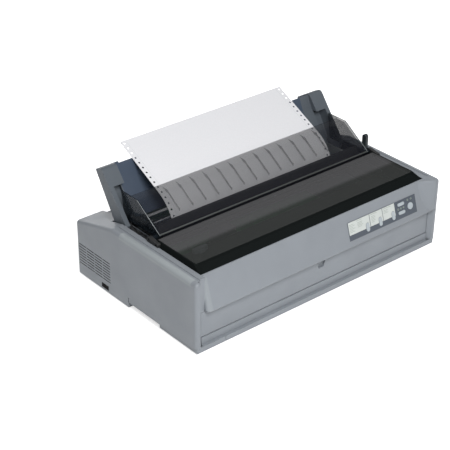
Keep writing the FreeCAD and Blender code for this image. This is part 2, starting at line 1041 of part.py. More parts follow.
def upper_case():
    outer = case_block(0, seam_height)
    shell = outer.cut(case_block(case_wall, 0))
    front_gate = block(
        -column_inner, column_inner, front_y - overrun, cover_face_y, 0, case_height + overrun)
    top_gate = block(
        -opening_half,
        opening_half,
        front_y - overrun,
        opening_rear_y,
        case_height - lip_depth,
        case_height + overrun,
    )
    deck_gate = block(
        -deck_half_width,
        deck_half_width,
        opening_rear_y - overrun,
        half_depth + overrun,
        deck_height,
        case_height + overrun,
    )
    rear_gate = block(
        -half_width - overrun,
        half_width + overrun,
        grip_rear_y,
        half_depth + overrun,
        0,
        rear_seam_height,
    )
    shell = shell.cut(Part.makeCompound([front_gate, top_gate, deck_gate, rear_gate]))
    posts = []
    for x, y in boss_places():
        posts.append(rod_z_dir(boss_radius, seam_height, case_height, x, y).common(outer))
    pieces = [shell, bezel_shell()] + jamb_walls() + shoulders() + rim_walls(outer) + rear_deck(outer) + posts
    shell = joined(pieces)
    grooves = []
    for side in (-1, 1):
        inner = side * (half_width - rim_groove_inset)
        grooves.append(block(
            inner - rim_groove / 2,
            inner + rim_groove / 2,
            column_front_y + case_round,
            slope_start_y + overrun,
            case_height - rim_groove_depth,
            case_height + overrun,
        ))
    swing = (case_height - release_pivot_z) * math.tan(math.radians(release_swing))
    slot = block(
        release_x - release_thickness / 2 - slot_side_gap,
        release_x + release_thickness / 2 + slot_side_gap,
        release_y - release_width / 2 - slot_end_gap - swing,
        release_y + release_width / 2 + slot_end_gap,
        case_height - case_wall - overrun,
        case_height + overrun,
    )
    knob_hole = rod_x(
        platen_shaft_radius + knob_gap, opening_half - overrun, half_width + overrun, platen_y, platen_z)
    inlet_window = block(
        inlet_x - inlet_width / 2 - fit_gap,
        inlet_x + inlet_width / 2 + fit_gap,
        half_depth - case_wall - overrun,
        half_depth + overrun,
        inlet_low - fit_gap,
        inlet_low + inlet_height + fit_gap,
    )
    port_window = block(
        port_x - port_width / 2 - fit_gap,
        port_x + port_width / 2 + fit_gap,
        half_depth - case_wall - overrun,
        half_depth + overrun,
        port_low - fit_gap,
        port_low + port_height + fit_gap,
    )
    screw_holes = []
    for x, y in boss_places():
        top = foot_height + screw_length + overrun
        screw_holes.append(rod_z_dir(screw_radius + shaft_clearance, 0, top, x, y))
    keys = on_bezel(Part.makeCompound(panel_holes(-case_wall - overrun, overrun)))
    cutters = grooves + [slot, knob_hole, inlet_window, port_window, keys]
    cutters += screw_holes + vent_cutters() + cover_pin_holes()
    shell = shell.cut(Part.makeCompound(cutters))
    return joined([shell] + board_posts())


def front_cover():
    low = cover_low
    high = bezel_low - cover_top_gap
    half = jamb_inner - cover_edge_gap
    back = cover_face_y + case_wall
    panel = block(-half, half, cover_face_y, back, low, high)

    def trapezoid(margin, y0, y1):
        outline = [
            point(-notch_top / 2 - margin, y0, high),
            point(notch_top / 2 + margin, y0, high),
            point(notch_low / 2 + margin, y0, high - notch_height - margin),
            point(-notch_low / 2 - margin, y0, high - notch_height - margin),
        ]
        return face_of(outline).extrude(point(0, y1 - y0, 0))

    cup = trapezoid(case_wall, cover_face_y, cover_face_y + notch_depth + case_wall)
    pull = trapezoid(0, cover_face_y - overrun, cover_face_y + notch_depth)
    pieces = [panel, cup]
    pin_y = cover_face_y + cover_pin_back
    pin_z = low + cover_pin_rise
    ear = block(
        half - case_wall * 2,
        half,
        cover_face_y,
        pin_y + cover_pin_radius,
        low,
        pin_z + cover_pin_radius,
    )
    pin = rod_x(cover_pin_radius, half - case_wall, jamb_inner + case_wall, pin_y, pin_z)
    pieces += both_sides(joined([ear, pin]))
    return joined(pieces).cut(pull)


# Covers

lid_top = case_height + lid_rise
lid_low_z = case_height - lid_skirt_drop
lid_half = opening_half - fit_gap - shaft_clearance


def leaning_cutter(foot, lean, low, high, start, length):
    """Prism outside a leaning plane: (across, z) outline, drawn out along Y."""
    rate = lean / (high - low)
    outline = [
        point(foot + rate * overrun, start, low - overrun),
        point(foot - lean - rate * overrun, start, high + overrun),
        point(foot + 2 * lid_corner, start, high + overrun),
        point(foot + 2 * lid_corner, start, low - overrun),
    ]
    return face_of(outline).extrude(point(0, length, 0))


def lid_form(inset, low, rear):
    """Shallow lid with leaning front and sides; a wall's inset draws every side in."""
    front = opening_front_y + fit_gap + inset
    high = lid_top - inset
    half = lid_half - inset
    start = front - lid_corner
    length = rear + lid_corner - start
    solid = block(-half, half, front, rear, low, high)
    side_cutter = leaning_cutter(half, lid_side_slope, low, high, start, length)
    across = 2 * half + 2 * lid_corner
    front_cutter = leaning_cutter(-front, lid_front_slope, low, high, -half - lid_corner, across)
    front_cutter.rotate(point(0, 0, 0), point(0, 0, 1), -90)
    corner_foot = (half - lid_low_corner - front) / math.sqrt(2)
    corner_lean = (lid_side_slope + lid_corner + lid_front_slope - lid_low_corner) / math.sqrt(2)
    corner_cutter = leaning_cutter(corner_foot, corner_lean, low, high, -case_width, 2 * case_width)
    corner_cutter.rotate(point(0, 0, 0), point(0, 0, 1), -45)
    cutters = both_sides(side_cutter) + [front_cutter] + both_sides(corner_cutter)
    return solid.cut(Part.makeCompound(cutters))


def printer_cover():
    outer = lid_form(0, lid_low_z, lid_rear_y)
    outer = rounded(
        outer,
        lid_wall / 2,
        lambda a, b: near(a.z, lid_top) and near(b.z, lid_top)
        and not (near(a.y, lid_rear_y) and near(b.y, lid_rear_y)),
    )
    inner = lid_form(lid_wall, lid_low_z - shaft_clearance, lid_rear_y + overrun)
    shell = outer.cut(inner)
    rear_rib = block(
        -lid_half + lid_side_slope + lid_wall,
        lid_half - lid_side_slope - lid_wall,
        lid_rear_y - lid_rib_setback,
        lid_rear_y - lid_rib_setback + lid_wall,
        lid_top - lid_wall - lid_rib_depth,
        lid_top - lid_wall / 2,
    )
    arm = block(
        lid_half - lid_side_slope - lid_arm_width,
        lid_half - lid_side_slope,
        lid_pin_y - lid_arm_front,
        lid_rear_y,
        lid_pin_z - lid_pin_radius - lid_wall / 2,
        lid_top - lid_wall / 2,
    )
    pin = rod_x(lid_pin_radius, lid_half - lid_side_slope - lid_wall, hinge_pin_end, lid_pin_y, lid_pin_z)
    notch = block(
        hinge_block_inner - fit_gap,
        lip_outer,
        lid_pin_y - lid_notch,
        lid_rear_y + overrun,
        hinge_block_low,
        lid_top + overrun,
    )
    shell = shell.cut(Part.makeCompound(both_sides(notch)))
    return joined([shell, rear_rib] + both_sides(joined([arm, pin])))


hood_slope = math.atan2(hood_top_z - hood_front_z, hood_top_y - hood_front_y)


def hood_face_z(y):
    return hood_front_z + (y - hood_front_y) * math.tan(hood_slope)


def separator_cover():
    drop = hood_wall / math.cos(hood_slope)
    lip_low = hood_top_z - hood_wall
    under_top_y = hood_top_y + hood_wall * math.tan(hood_slope / 2)
    sheet = [
        (hood_front_y, hood_front_z),
        (hood_top_y, hood_top_z),
        (hood_lip_y, hood_top_z),
        (hood_lip_y, lip_low),
        (under_top_y, lip_low),
        (hood_front_y, hood_front_z - drop),
    ]
    face = prism_x(sheet, -hood_half_width, hood_half_width)
    side_outline = [
        (hood_front_y, hood_front_z - drop),
        (hood_front_y, hood_front_z),
        (hood_top_y, hood_top_z),
        (hood_side_y, hood_top_z),
        (hood_side_y - guide_round, hood_side_low),
        (hood_pin_y, hood_side_low),
    ]
    side = prism_x(side_outline, hood_half_width - hood_wall, hood_half_width)
    boss_end = hinge_block_inner - hood_boss_gap
    boss = rod_x(hood_boss_radius, hood_half_width - hood_wall, boss_end, hood_pin_y, hood_pin_z)
    pin = rod_x(hood_pin_radius, hood_half_width - hood_wall, hinge_pin_end, hood_pin_y, hood_pin_z)
    ribs = []
    rib_blank = prism_x(
        [
            (rib_front_y, hood_face_z(rib_front_y) - rib_depth),
            (rib_front_y, hood_face_z(rib_front_y) - drop / 2),
            (hood_top_y, hood_top_z - drop / 2),
            (hood_lip_y - hood_wall, hood_top_z - hood_wall / 2),
            (hood_lip_y - hood_wall, hood_top_z - rib_depth),
            (hood_top_y, hood_top_z - rib_depth),
        ],
        -rib_thickness / 2,
        rib_thickness / 2,
    )
    keep_off = rod_x(exit_bend + rib_clearance, -rib_thickness, rib_thickness, bend_y, bend_z)
    rib_blank = rib_blank.cut(keep_off)
    for place in range(rib_count):
        rib = rib_blank.copy()
        rib.translate(point(path_centre + (place - (rib_count - 1) / 2) * rib_pitch, 0, 0))
        ribs.append(rib)
    return joined([face] + both_sides(joined([side, boss, pin])) + ribs)


def tear_bar():
    """Thin steel strip along the hood's front edge, where a sheet is torn off."""
    rise = math.tan(hood_slope)
    lift = tear_bar_thickness / math.cos(hood_slope)
    outline = [
        (hood_front_y, hood_front_z),
        (hood_front_y + tear_bar_width, hood_front_z + tear_bar_width * rise),
        (hood_front_y + tear_bar_width, hood_front_z + tear_bar_width * rise + lift),
        (hood_front_y, hood_front_z + lift / 2),
    ]
    return prism_x(outline, -hood_half_width, hood_half_width)


def page_line_z(y):
    return exit_hole_z - (exit_hole_y - y) * math.tan(exit_slope)


def paper_guide():
    slab = [
        (guide_foot_front_y, guide_foot_z),
        (guide_tip_front_y, guide_tip_front_z),
        (guide_tip_rear_y, guide_tip_rear_z),
        (guide_foot_rear_y, guide_foot_z),
        (guide_pivot_y + guide_heel_half, guide_heel_z),
        (guide_pivot_y - guide_heel_half, guide_heel_z),
    ]
    inner = guide_half_width - guide_slab_width
    block_part = prism_x(slab, inner, guide_half_width)
    block_part = rounded(
        block_part,
        guide_round,
        lambda a, b: near(a.y, b.y) and near(a.z, b.z) and near(a.y, guide_tip_front_y),
    )
    clear = block(
        inner - overrun,
        guide_half_width - guide_cheek_width,
        guide_pivot_y - 2 * guide_heel_half - overrun,
        guide_tip_rear_y,
        guide_heel_z - overrun,
        guide_notch_z,
    )
    web = prism_x(
        [
            (guide_foot_rear_y, guide_foot_z),
            (guide_tip_rear_y, guide_tip_rear_z),
            (guide_tip_rear_y - guide_web, guide_tip_rear_z),
            (guide_foot_rear_y - guide_web, guide_foot_z),
        ],
        inner - guide_web_reach,
        guide_half_width - guide_cheek_width / 2,
    )
    block_part = joined([block_part.cut(clear), web])
    pin_start = guide_half_width - guide_cheek_width / 2
    pin = rod_x(guide_pin_radius, pin_start, lip_outer, guide_pivot_y, guide_pivot_z)
    top_y = guide_tip_front_y + guide_plate
    top_z = page_line_z(top_y) - paper_thickness - guide_plate_gap
    chord_y = top_y - guide_plate_low_y
    chord_z = top_z - guide_plate_low_z
    chord = math.hypot(chord_y, chord_z)
    back_y = chord_z / chord
    back_z = -chord_y / chord

    def sheet_arc(shift):
        ends = [
            (guide_plate_low_y, guide_plate_low_z),
            (
                (guide_plate_low_y + top_y) / 2 + back_y * guide_plate_sag,
                (guide_plate_low_z + top_z) / 2 + back_z * guide_plate_sag,
            ),
            (top_y, top_z),
        ]
        return [point(0, y + back_y * shift, z + back_z * shift) for y, z in ends]

    def curved_strip(shift, depth):
        near_side = sheet_arc(shift)
        far_side = sheet_arc(shift + depth)
        edges = [
            Part.Arc(*near_side).toShape(),
            Part.LineSegment(near_side[2], far_side[2]).toShape(),
            Part.Arc(*far_side).toShape(),
            Part.LineSegment(far_side[0], near_side[0]).toShape(),
        ]
        return Part.Face(Part.Wire(edges[:1] + [edges[1], edges[2], edges[3]]))

    plate = curved_strip(0, guide_plate).extrude(point(2 * inner + overrun, 0, 0))
    plate.translate(point(-inner - overrun / 2, 0, 0))
    pieces = [plate]
    spacing = 2 * inner / (guide_rib_count + 1)
    for place in range(guide_rib_count):
        rib = curved_strip(guide_plate / 2, guide_rib_depth).extrude(point(guide_rib_thickness, 0, 0))
        rib.translate(point(-inner + spacing * (place + 1) - guide_rib_thickness / 2, 0, 0))
        pieces.append(rib)
    return joined(pieces + both_sides(joined([block_part, pin])))


# Control panel

def control_label():
    plate = block(0, label_width, 0, label_height, 0, label_thickness)
    return on_bezel(plate.cut(Part.makeCompound(panel_holes(-overrun, overrun))))


def key_cap(width, height, u, v):
    """Key standing through the panel, with a flange behind the case wall."""
    back = -case_wall - key_gap - key_flange_thickness
    stem = capsule(width, height, back - key_tail, label_thickness + key_proud, u, v)
    flange = capsule(width + 2 * key_flange, height + 2 * key_flange, back, -case_wall - key_gap, u, v)
    cap = joined([stem, flange])
    top = label_thickness + key_proud
    cap = rounded(cap, key_proud / 2, lambda a, b: near(a.z, top) and near(b.z, top))
    return on_bezel(cap)


def indicator_lights():
    lamps = []
    for u, v in lamp_places:
        lamps.append(Part.makeCylinder(
            lamp_radius, lamp_length, point(u, v, label_thickness + key_gap - lamp_length)))
    return on_bezel(Part.makeCompound(lamps))


switch_top = -case_wall - key_gap - key_flange_thickness - key_tail - key_travel - board_gap
board_seat = switch_top - switch_height


def board_post_places():
    left = board_margin - board_post_inset
    return [(u, v) for u in (left, label_width - left) for v in (board_margin, label_height - board_margin)]


def board_posts():
    """Posts on the back of the bezel that carry the key board."""
    length = -case_wall / 2 - board_seat
    return [
        on_bezel(Part.makeCylinder(board_post_radius, length, point(u, v, board_seat)))
        for u, v in board_post_places()
    ]


def panel_board():
    """Circuit board behind the keys, with one switch under each key."""
    pieces = [block(0, label_width, 0, label_height, board_seat - board_thickness, board_seat)]
    for name, width, height, u, v in key_outlines():
        pieces.append(block(
            u - switch_size / 2, u + switch_size / 2, v - switch_size / 2, v + switch_size / 2,
            board_seat - board_thickness, switch_top))
    return on_bezel(joined(pieces))


# Platen and feed gears

def platen_roller():
    start = path_centre - platen_length / 2
    tube = rod_x(platen_radius, start, start + platen_length, platen_y, platen_z)
    end = start + platen_length
    return tube.cut(rod_x(platen_shaft_radius, start - overrun, end + overrun, platen_y, platen_z))


def platen_shaft():
    left = -frame_x - gear_side_gap - gear_width - overrun / 2
    right = half_width + knob_reach - knob_recess
    return rod_x(platen_shaft_radius, left, right, platen_y, platen_z)


def platen_knob():
    inner = half_width + knob_gap
    outer = half_width + knob_reach
    knob = rod_x(knob_radius, inner, outer, platen_y, platen_z)
    knob = rounded(knob, knob_gap, lambda a, b: near(a.x, outer) and near(b.x, outer))
    grooves = []
    for place in range(knob_ribs):
        angle = 2 * math.pi * place / knob_ribs
        reach = knob_radius + knob_rib_depth / 2
        grooves.append(rod_x(
            knob_rib_depth,
            inner - overrun,
            outer + overrun,
            platen_y + reach * math.cos(angle),
            platen_z + reach * math.sin(angle),
        ))
    bore = rod_x(platen_shaft_radius, inner - overrun, outer - knob_recess, platen_y, platen_z)
    return knob.cut(Part.makeCompound(grooves + [bore]))


def pitch_radius(teeth):
    return gear_module * teeth / 2


def gear_solid(teeth, y, z, phase, bore, left, width):
    """Spur gear about an X axis; each tooth is a trapezium with slack either side."""
    pitch = pitch_radius(teeth)
    root = pitch - root_depth_share * gear_module
    tip = pitch + tip_height_share * gear_module
    half_tooth = math.pi / teeth
    outline = []
    for tooth in range(teeth):
        centre = phase + 2 * math.pi * tooth / teeth
        steps = [
            (root, -root_half_share),
            (pitch, -pitch_half_share),
            (tip, -tip_half_share),
            (tip, tip_half_share),
            (pitch, pitch_half_share),
            (root, root_half_share),
        ]
        for radius, turn in steps:
            angle = centre + turn * half_tooth
            outline.append((y + radius * math.cos(angle), z + radius * math.sin(angle)))
    solid = prism_x(outline, left, left + width)
    if bore > 0:
        solid = solid.cut(rod_x(bore, left - overrun, left + width + overrun, y, z))
    return solid


def meshed_phase(phase, teeth, direction, other_teeth):
    """Turn of a gear whose gaps face the first gear's teeth."""
    pitch = 2 * math.pi / teeth
    ahead = (phase - direction) % pitch
    return direction + math.pi - ahead * teeth / other_teeth + math.pi / other_teeth


gear_left = -frame_x - gear_side_gap - gear_width
reach_to_idler = pitch_radius(platen_teeth) + pitch_radius(idler_teeth)
span_y = tractor_y - platen_y
span_z = tractor_z - platen_z
span = math.hypot(span_y, span_z)
idler_rise = math.sqrt(reach_to_idler ** 2 - (span / 2) ** 2)
idler_y = platen_y + span_y / 2 - span_z / span * idler_rise
idler_z = platen_z + span_z / 2 + span_y / span * idler_rise
pinion_turn = math.radians(pinion_angle)
pinion_reach = pitch_radius(idler_teeth) + pitch_radius(pinion_teeth)
pinion_y = idler_y + pinion_reach * math.cos(pinion_turn)
pinion_z = idler_z + pinion_reach * math.sin(pinion_turn)
to_idler = math.atan2(idler_z - platen_z, idler_y - platen_y)
to_tractor = math.atan2(tractor_z - idler_z, tractor_y - idler_y)
platen_phase = to_idler
idler_phase = meshed_phase(platen_phase, platen_teeth, to_idler, idler_teeth)
tractor_phase = meshed_phase(idler_phase, idler_teeth, to_tractor, tractor_teeth)
pinion_phase = meshed_phase(idler_phase, idler_teeth, pinion_turn, pinion_teeth)


def platen_gear():
    return gear_solid(
        platen_teeth, platen_y, platen_z, platen_phase, platen_shaft_radius, gear_left, gear_width)


def feed_idler_gear():
    bore = tractor_rod_radius + shaft_clearance
    return gear_solid(idler_teeth, idler_y, idler_z, idler_phase, bore, gear_left, gear_width)


def tractor_gear():
    bore = tractor_rod_radius
    return gear_solid(tractor_teeth, tractor_y, tractor_z, tractor_phase, bore, gear_left, gear_width)


def feed_pinion():
    gear = gear_solid(
        pinion_teeth,
        pinion_y,
        pinion_z,
        pinion_phase,
        motor_shaft_radius + shaft_clearance,
        gear_left,
        gear_width,
    )
    return gear


def feed_motor():
    inner = -frame_x + frame_sheet
    can = rod_x(motor_radius, inner, inner + motor_length, pinion_y, pinion_z)
    spindle = rod_x(motor_shaft_radius, gear_left - overrun / 2, inner + overrun, pinion_y, pinion_z)
    return joined([can, spindle])


# Tractors

def tractor_drive_shaft():
    side = tractor_bar / 2
    inner = frame_x - frame_sheet - gear_side_gap
    bar = block(-inner, inner, tractor_y - side, tractor_y + side, tractor_z - side, tractor_z + side)
    journal = rod_x(tractor_rod_radius, gear_left - overrun / 2, frame_x + overrun / 2, tractor_y, tractor_z)
    return joined([bar, journal])


def tractor_rod():
    return rod_x(
        tractor_rod_radius, -frame_x, frame_x, tractor_y - tractor_nose, tractor_z)


def stadium(radius, x0, x1):
    """Round-ended loop shape about the tractor's two shafts."""
    return joined([
        rod_x(radius, x0, x1, tractor_y, tractor_z),
        rod_x(radius, x0, x1, tractor_y - tractor_nose, tractor_z),
        block(x0, x1, tractor_y - tractor_nose, tractor_y, tractor_z - radius, tractor_z + radius),
    ])


def tractor_body():
    """Left tractor about its hole column at x = 0; outward is towards -X."""
    plate_top = tractor_z + belt_radius - shaft_clearance
    front = tractor_y - tractor_nose - belt_radius - tractor_overhang
    rear = tractor_y + belt_radius + tractor_overhang
    low = tractor_z - tractor_below
    cheek_gap = belt_half_width + belt_side_gap
    outer = block(-tractor_outer, -cheek_gap, front, rear, low, plate_top)
    inner = block(cheek_gap, tractor_inner, front, rear, low, plate_top)
    hub = rod_x(tractor_hub, -tractor_outer, tractor_inner, tractor_y - tractor_nose, tractor_z)
    bridge = block(-tractor_outer, tractor_inner, front, rear, low - case_wall, low)
    ear_top = lid_pivot_z + lid_ear_width / 2
    ears = []
    for y0 in (front, rear - lid_ear):
        ears.append(block(
            -tractor_outer - lid_ear_width, -tractor_outer, y0, y0 + lid_ear, tractor_z, ear_top))
        ears.append(block(
            -tractor_outer - lid_ear_width, -cheek_gap, y0, y0 + lid_ear, tractor_z, plate_top - lid_gap))
    body = joined([outer, inner, hub, bridge] + ears)
    holes = [
        rod_x(tractor_rod_radius + shaft_clearance, -tractor_outer - overrun, tractor_inner + overrun,
              tractor_y - tractor_nose, tractor_z),
        rod_x(tractor_bar_hole, -tractor_outer - overrun, tractor_inner + overrun, tractor_y, tractor_z),
        rod_y_dir(
            lid_hinge_radius + shaft_clearance, front - overrun, rear + overrun, lid_pivot_x, lid_pivot_z),
    ]
    return body.cut(Part.makeCompound(holes))


lid_pivot_x = -tractor_outer - lid_ear_width / 2
lid_pivot_z = paper_z + paper_thickness / 2 + lid_gap + lid_thickness / 2
lid_front_y = tractor_y - tractor_nose - belt_radius - tractor_overhang
lid_back_y = tractor_y + belt_radius + tractor_overhang


def tractor_lid():
    low = lid_pivot_z - lid_thickness / 2
    front = lid_front_y + lid_ear + fit_gap
    rear = lid_back_y - lid_ear - fit_gap
    plate = block(lid_pivot_x, tractor_inner, front, rear, low, low + lid_thickness)
    barrel = rod_y_dir(lid_thickness / 2, front, rear, lid_pivot_x, lid_pivot_z)
    pin = rod_y_dir(lid_hinge_radius, lid_front_y, lid_back_y, lid_pivot_x, lid_pivot_z)
    slot = block(
        -hole_radius - fit_gap,
        hole_radius + fit_gap,
        front + lid_ear,
        rear - lid_ear,
        low - overrun,
        low + lid_thickness + overrun,
    )
    return joined([plate, barrel, pin]).cut(slot)


def tractor_lock():
    x1 = -tractor_outer - fit_gap
    x0 = x1 - lock_thickness
    y = tractor_y - tractor_nose
    disc = rod_x(lock_radius, x0, x1, y, tractor_z)
    tab = block(x0, x1, y, y + lock_tab, tractor_z - lock_tab_width / 2, tractor_z + lock_tab_width / 2)
    tab.rotate(point(0, y, tractor_z), point(1, 0, 0), lock_angle)
    hole = rod_x(tractor_rod_radius + 2 * shaft_clearance, x0 - overrun, x1 + overrun, y, tractor_z)
    return joined([disc, tab]).cut(hole)


def pin_belt():
    loop = stadium(belt_radius, -belt_half_width, belt_half_width).cut(
        stadium(belt_radius - belt_thickness, -belt_half_width - overrun, belt_half_width + overrun))
    pins = []
    for y in belt_pin_ys():
        high = tractor_z + belt_radius + pin_height
        pins.append(Part.makeCone(
            pin_radius, pin_radius / 2, pin_height + belt_thickness / 2,
            point(0, y, high - pin_height - belt_thickness / 2)))
    return joined([loop] + pins)


def placed_tractor(shape, side):
    """Set a tractor piece on its hole column; the right one is the mirror image."""
    placed = shape if side < 0 else mirrored(shape)
    placed = placed.copy()
    placed.translate(point(hole_columns[0] if side < 0 else hole_columns[1], 0, 0))
    return placed


# Frame

def frame_outline():
    return [
        (frame_front_y, floor_top),
        (frame_front_y, frame_front_z),
        (frame_step_y, frame_front_z),
        (frame_step_y + frame_step_run, frame_top_z),
        (frame_top_rear_y, frame_top_z),
        (frame_rear_y, frame_rear_z),
        (frame_rear_y, floor_top),
    ]


def frame_plate():
    """Left side plate, with its foot and the tab that carries the carriage drive."""
    plate = prism_x(frame_outline(), -frame_x, -frame_x + frame_sheet)
    foot = block(
        -frame_x, -frame_x + frame_flange, frame_front_y, frame_rear_y, floor_top, floor_top + frame_sheet)
    tab = block(
        -frame_x,
        -pulley_x + tab_reach,
        tab_back_y - tab_sheet,
        tab_back_y,
        tab_low,
        tab_top,
    )
    return joined([plate, foot, tab])


def shaft_holes(side):
    far = frame_x + overrun
    near_x = frame_x - frame_sheet - overrun
    places = [
        (platen_shaft_radius + shaft_clearance, platen_y, platen_z),
        (tractor_rod_radius + shaft_clearance, tractor_y, tractor_z),
        (tractor_rod_radius, tractor_y - tractor_nose, tractor_z),
        (rod_radius, rod_y, rod_z),
        (gap_lever_stem + shaft_clearance, gap_lever_y, gap_lever_z),
    ]
    if side > 0:
        places.append((release_stem + shaft_clearance, release_y, release_pivot_z))
    holes = [rod_x(radius, near_x, far, y, z) for radius, y, z in places]
    return Part.makeCompound(holes if side > 0 else [mirrored(hole) for hole in holes])


def frame_left():
    stud = rod_x(
        tractor_rod_radius, gear_left - overrun / 2, -frame_x + frame_sheet / 2, idler_y, idler_z)
    motor_holes = [
        rod_x(motor_shaft_radius + fit_gap, -frame_x - overrun, -frame_x + frame_sheet, pinion_y, pinion_z),
        rod_y_dir(motor_shaft_radius + fit_gap, tab_back_y - tab_sheet - overrun, tab_back_y + overrun,
                  -pulley_x, pulley_z),
    ]
    plate = frame_plate().cut(Part.makeCompound(motor_holes)).cut(shaft_holes(-1))
    return joined([plate, stud])


def frame_right():
    stud = rod_y_dir(
        motor_shaft_radius, pulley_front - overrun / 2, tab_back_y - tab_sheet / 2, pulley_x, pulley_z)
    return joined([mirrored(frame_plate()).cut(shaft_holes(1)), stud])


def rear_beam():
    inner = frame_x - frame_sheet
    web = block(-inner, inner, frame_rear_y - frame_sheet, frame_rear_y, beam_low, beam_high)
    flange = block(
        -inner, inner, frame_rear_y - frame_flange, frame_rear_y, beam_low, beam_low + frame_sheet)
    return joined([web, flange])


# Carriage and its drive

def carriage_rod():
    return rod_x(rod_radius, -frame_x, frame_x, rod_y, rod_z)


def guide_rail():
    inner = frame_x - frame_sheet
    web = block(-inner, inner, rail_y - rail_sheet / 2, rail_y + rail_sheet / 2, rail_low, rail_high)
    flange = block(
        -inner, inner, rail_y - rail_sheet / 2, rail_y + rail_flange, rail_low, rail_low + rail_sheet)
    return joined([web, flange])


def carriage():
    x0 = carriage_x - carriage_length / 2
    x1 = x0 + carriage_length
    body = block(x0, x1, carriage_front, carriage_rear, carriage_low, carriage_high)
    hook = block(x0, x1, hook_front, carriage_front, hook_low, hook_high)
    slot = block(
        x0 - overrun,
        x1 + overrun,
        rail_y - rail_sheet / 2 - hook_gap,
        rail_y + rail_sheet / 2 + hook_gap,
        hook_low - overrun,
        rail_high + hook_gap,
    )
    clamp = block(
        carriage_x - clamp_width / 2,
        carriage_x + clamp_width / 2,
        pulley_front,
        pulley_front + pulley_width,
        pulley_z + pulley_radius + pulley_gap + belt_thickness + pulley_gap,
        carriage_low,
    )
    bore = rod_x(rod_radius + shaft_clearance, x0 - overrun, x1 + overrun, rod_y, rod_z)
    return joined([body, hook, clamp]).cut(slot).cut(bore)


def nose_front_y():
    return platen_front_y - paper_thickness / 2 - 2 * ribbon_gap - ribbon_thickness - nose_gap


def print_head():
    """Finned body on the carriage, with the needle nose that faces the platen."""
    x0 = carriage_x - head_width / 2
    body = block(x0, x0 + head_width, head_front, head_rear, carriage_high, head_high)
    cutters = []
    place = head_front + head_fin
    while place + head_fin_gap < head_rear - head_fin:
        cutters.append(block(
            x0 - overrun, x0 + head_width + overrun, place, place + head_fin_gap,
            head_high - head_fin_depth, head_high + overrun))
        place += head_fin + head_fin_gap
    nose = block(
        carriage_x - nose_width / 2,
        carriage_x + nose_width / 2,
        head_rear,
        nose_front_y(),
        nose_low,
        nose_high,
    )
    return joined([body.cut(Part.makeCompound(cutters)), nose])


def drive_belt():
    inner = pulley_radius + pulley_gap
    outer = inner + belt_thickness
    y0 = pulley_front + pulley_gap
    y1 = pulley_front + pulley_width - pulley_gap

    def loop(radius, front, back):
        return joined([
            rod_y_dir(radius, front, back, -pulley_x, pulley_z),
            rod_y_dir(radius, front, back, pulley_x, pulley_z),
            block(-pulley_x, pulley_x, front, back, pulley_z - radius, pulley_z + radius),
        ])

    return loop(outer, y0, y1).cut(loop(inner, y0 - overrun, y1 + overrun))


def belt_pulley(side):
    wheel = rod_y_dir(pulley_radius, pulley_front, pulley_front + pulley_width, side * pulley_x, pulley_z)
    flange = rod_y_dir(
        pulley_radius + belt_thickness + pulley_gap,
        pulley_front - pulley_flange,
        pulley_front,
        side * pulley_x,
        pulley_z,
    )
    bore = rod_y_dir(
        motor_shaft_radius + shaft_clearance,
        pulley_front - overrun,
        pulley_front + pulley_width + overrun,
        side * pulley_x,
        pulley_z,
    )
    return joined([wheel, flange]).cut(bore)


def carriage_motor():
    can = rod_y_dir(motor_radius, tab_back_y, tab_back_y + motor_length, -pulley_x, pulley_z)
    spindle = rod_y_dir(
        motor_shaft_radius, pulley_front - overrun / 2, tab_back_y + overrun, -pulley_x, pulley_z)
    return joined([can, spindle])


# Ribbon

def ribbon_y():
    return nose_front_y() + nose_gap + ribbon_thickness


def ribbon_cartridge():
    tray = block(
        -cartridge_half, cartridge_half, cartridge_front, cartridge_rear, cartridge_low, cartridge_high)
    tray = rounded(
        tray,
        cartridge_round,
        lambda a, b: near(a.z, cartridge_high) and near(b.z, cartridge_high),
    )
    arm = block(
        cartridge_half - cartridge_arm,
        cartridge_half,
        cartridge_rear - cartridge_round,
        ribbon_y() - ribbon_thickness,
        cartridge_arm_low,
        cartridge_arm_low + ribbon_height + 2 * ribbon_gap,
    )
    lug = block(
        cartridge_half - cartridge_round,
        frame_x + overrun,
        cartridge_front + cartridge_lug,
        cartridge_front + 2 * cartridge_lug,
        frame_front_z,
        frame_front_z + cartridge_lug_height,
    )
    hole = rod_z_dir(
        ribbon_knob_stem + shaft_clearance, cartridge_high - cartridge_round - overrun,
        cartridge_high + overrun, ribbon_knob_x, ribbon_knob_y)
    return joined([tray] + both_sides(joined([arm, lug]))).cut(hole)


def ribbon():
    """Inked strip across the platen, held against both cartridge arms."""
    low = cartridge_arm_low + ribbon_gap
    return block(
        -cartridge_half,
        cartridge_half,
        ribbon_y() - ribbon_thickness,
        ribbon_y(),
        low,
        low + ribbon_height,
    )


def ribbon_knob():
    seat = cartridge_high
    low = seat + fit_gap
    high = seat + ribbon_knob_height
    disc = rod_z_dir(ribbon_knob_radius, low, (seat + high) / 2, ribbon_knob_x, ribbon_knob_y)
    wing = capsule(ribbon_knob_wing, ribbon_knob_radius, low, high, ribbon_knob_x, ribbon_knob_y)
    stem = rod_z_dir(
        ribbon_knob_stem, seat - cartridge_round, seat + ribbon_knob_height / 2, ribbon_knob_x, ribbon_knob_y)
    return joined([disc, wing, stem])


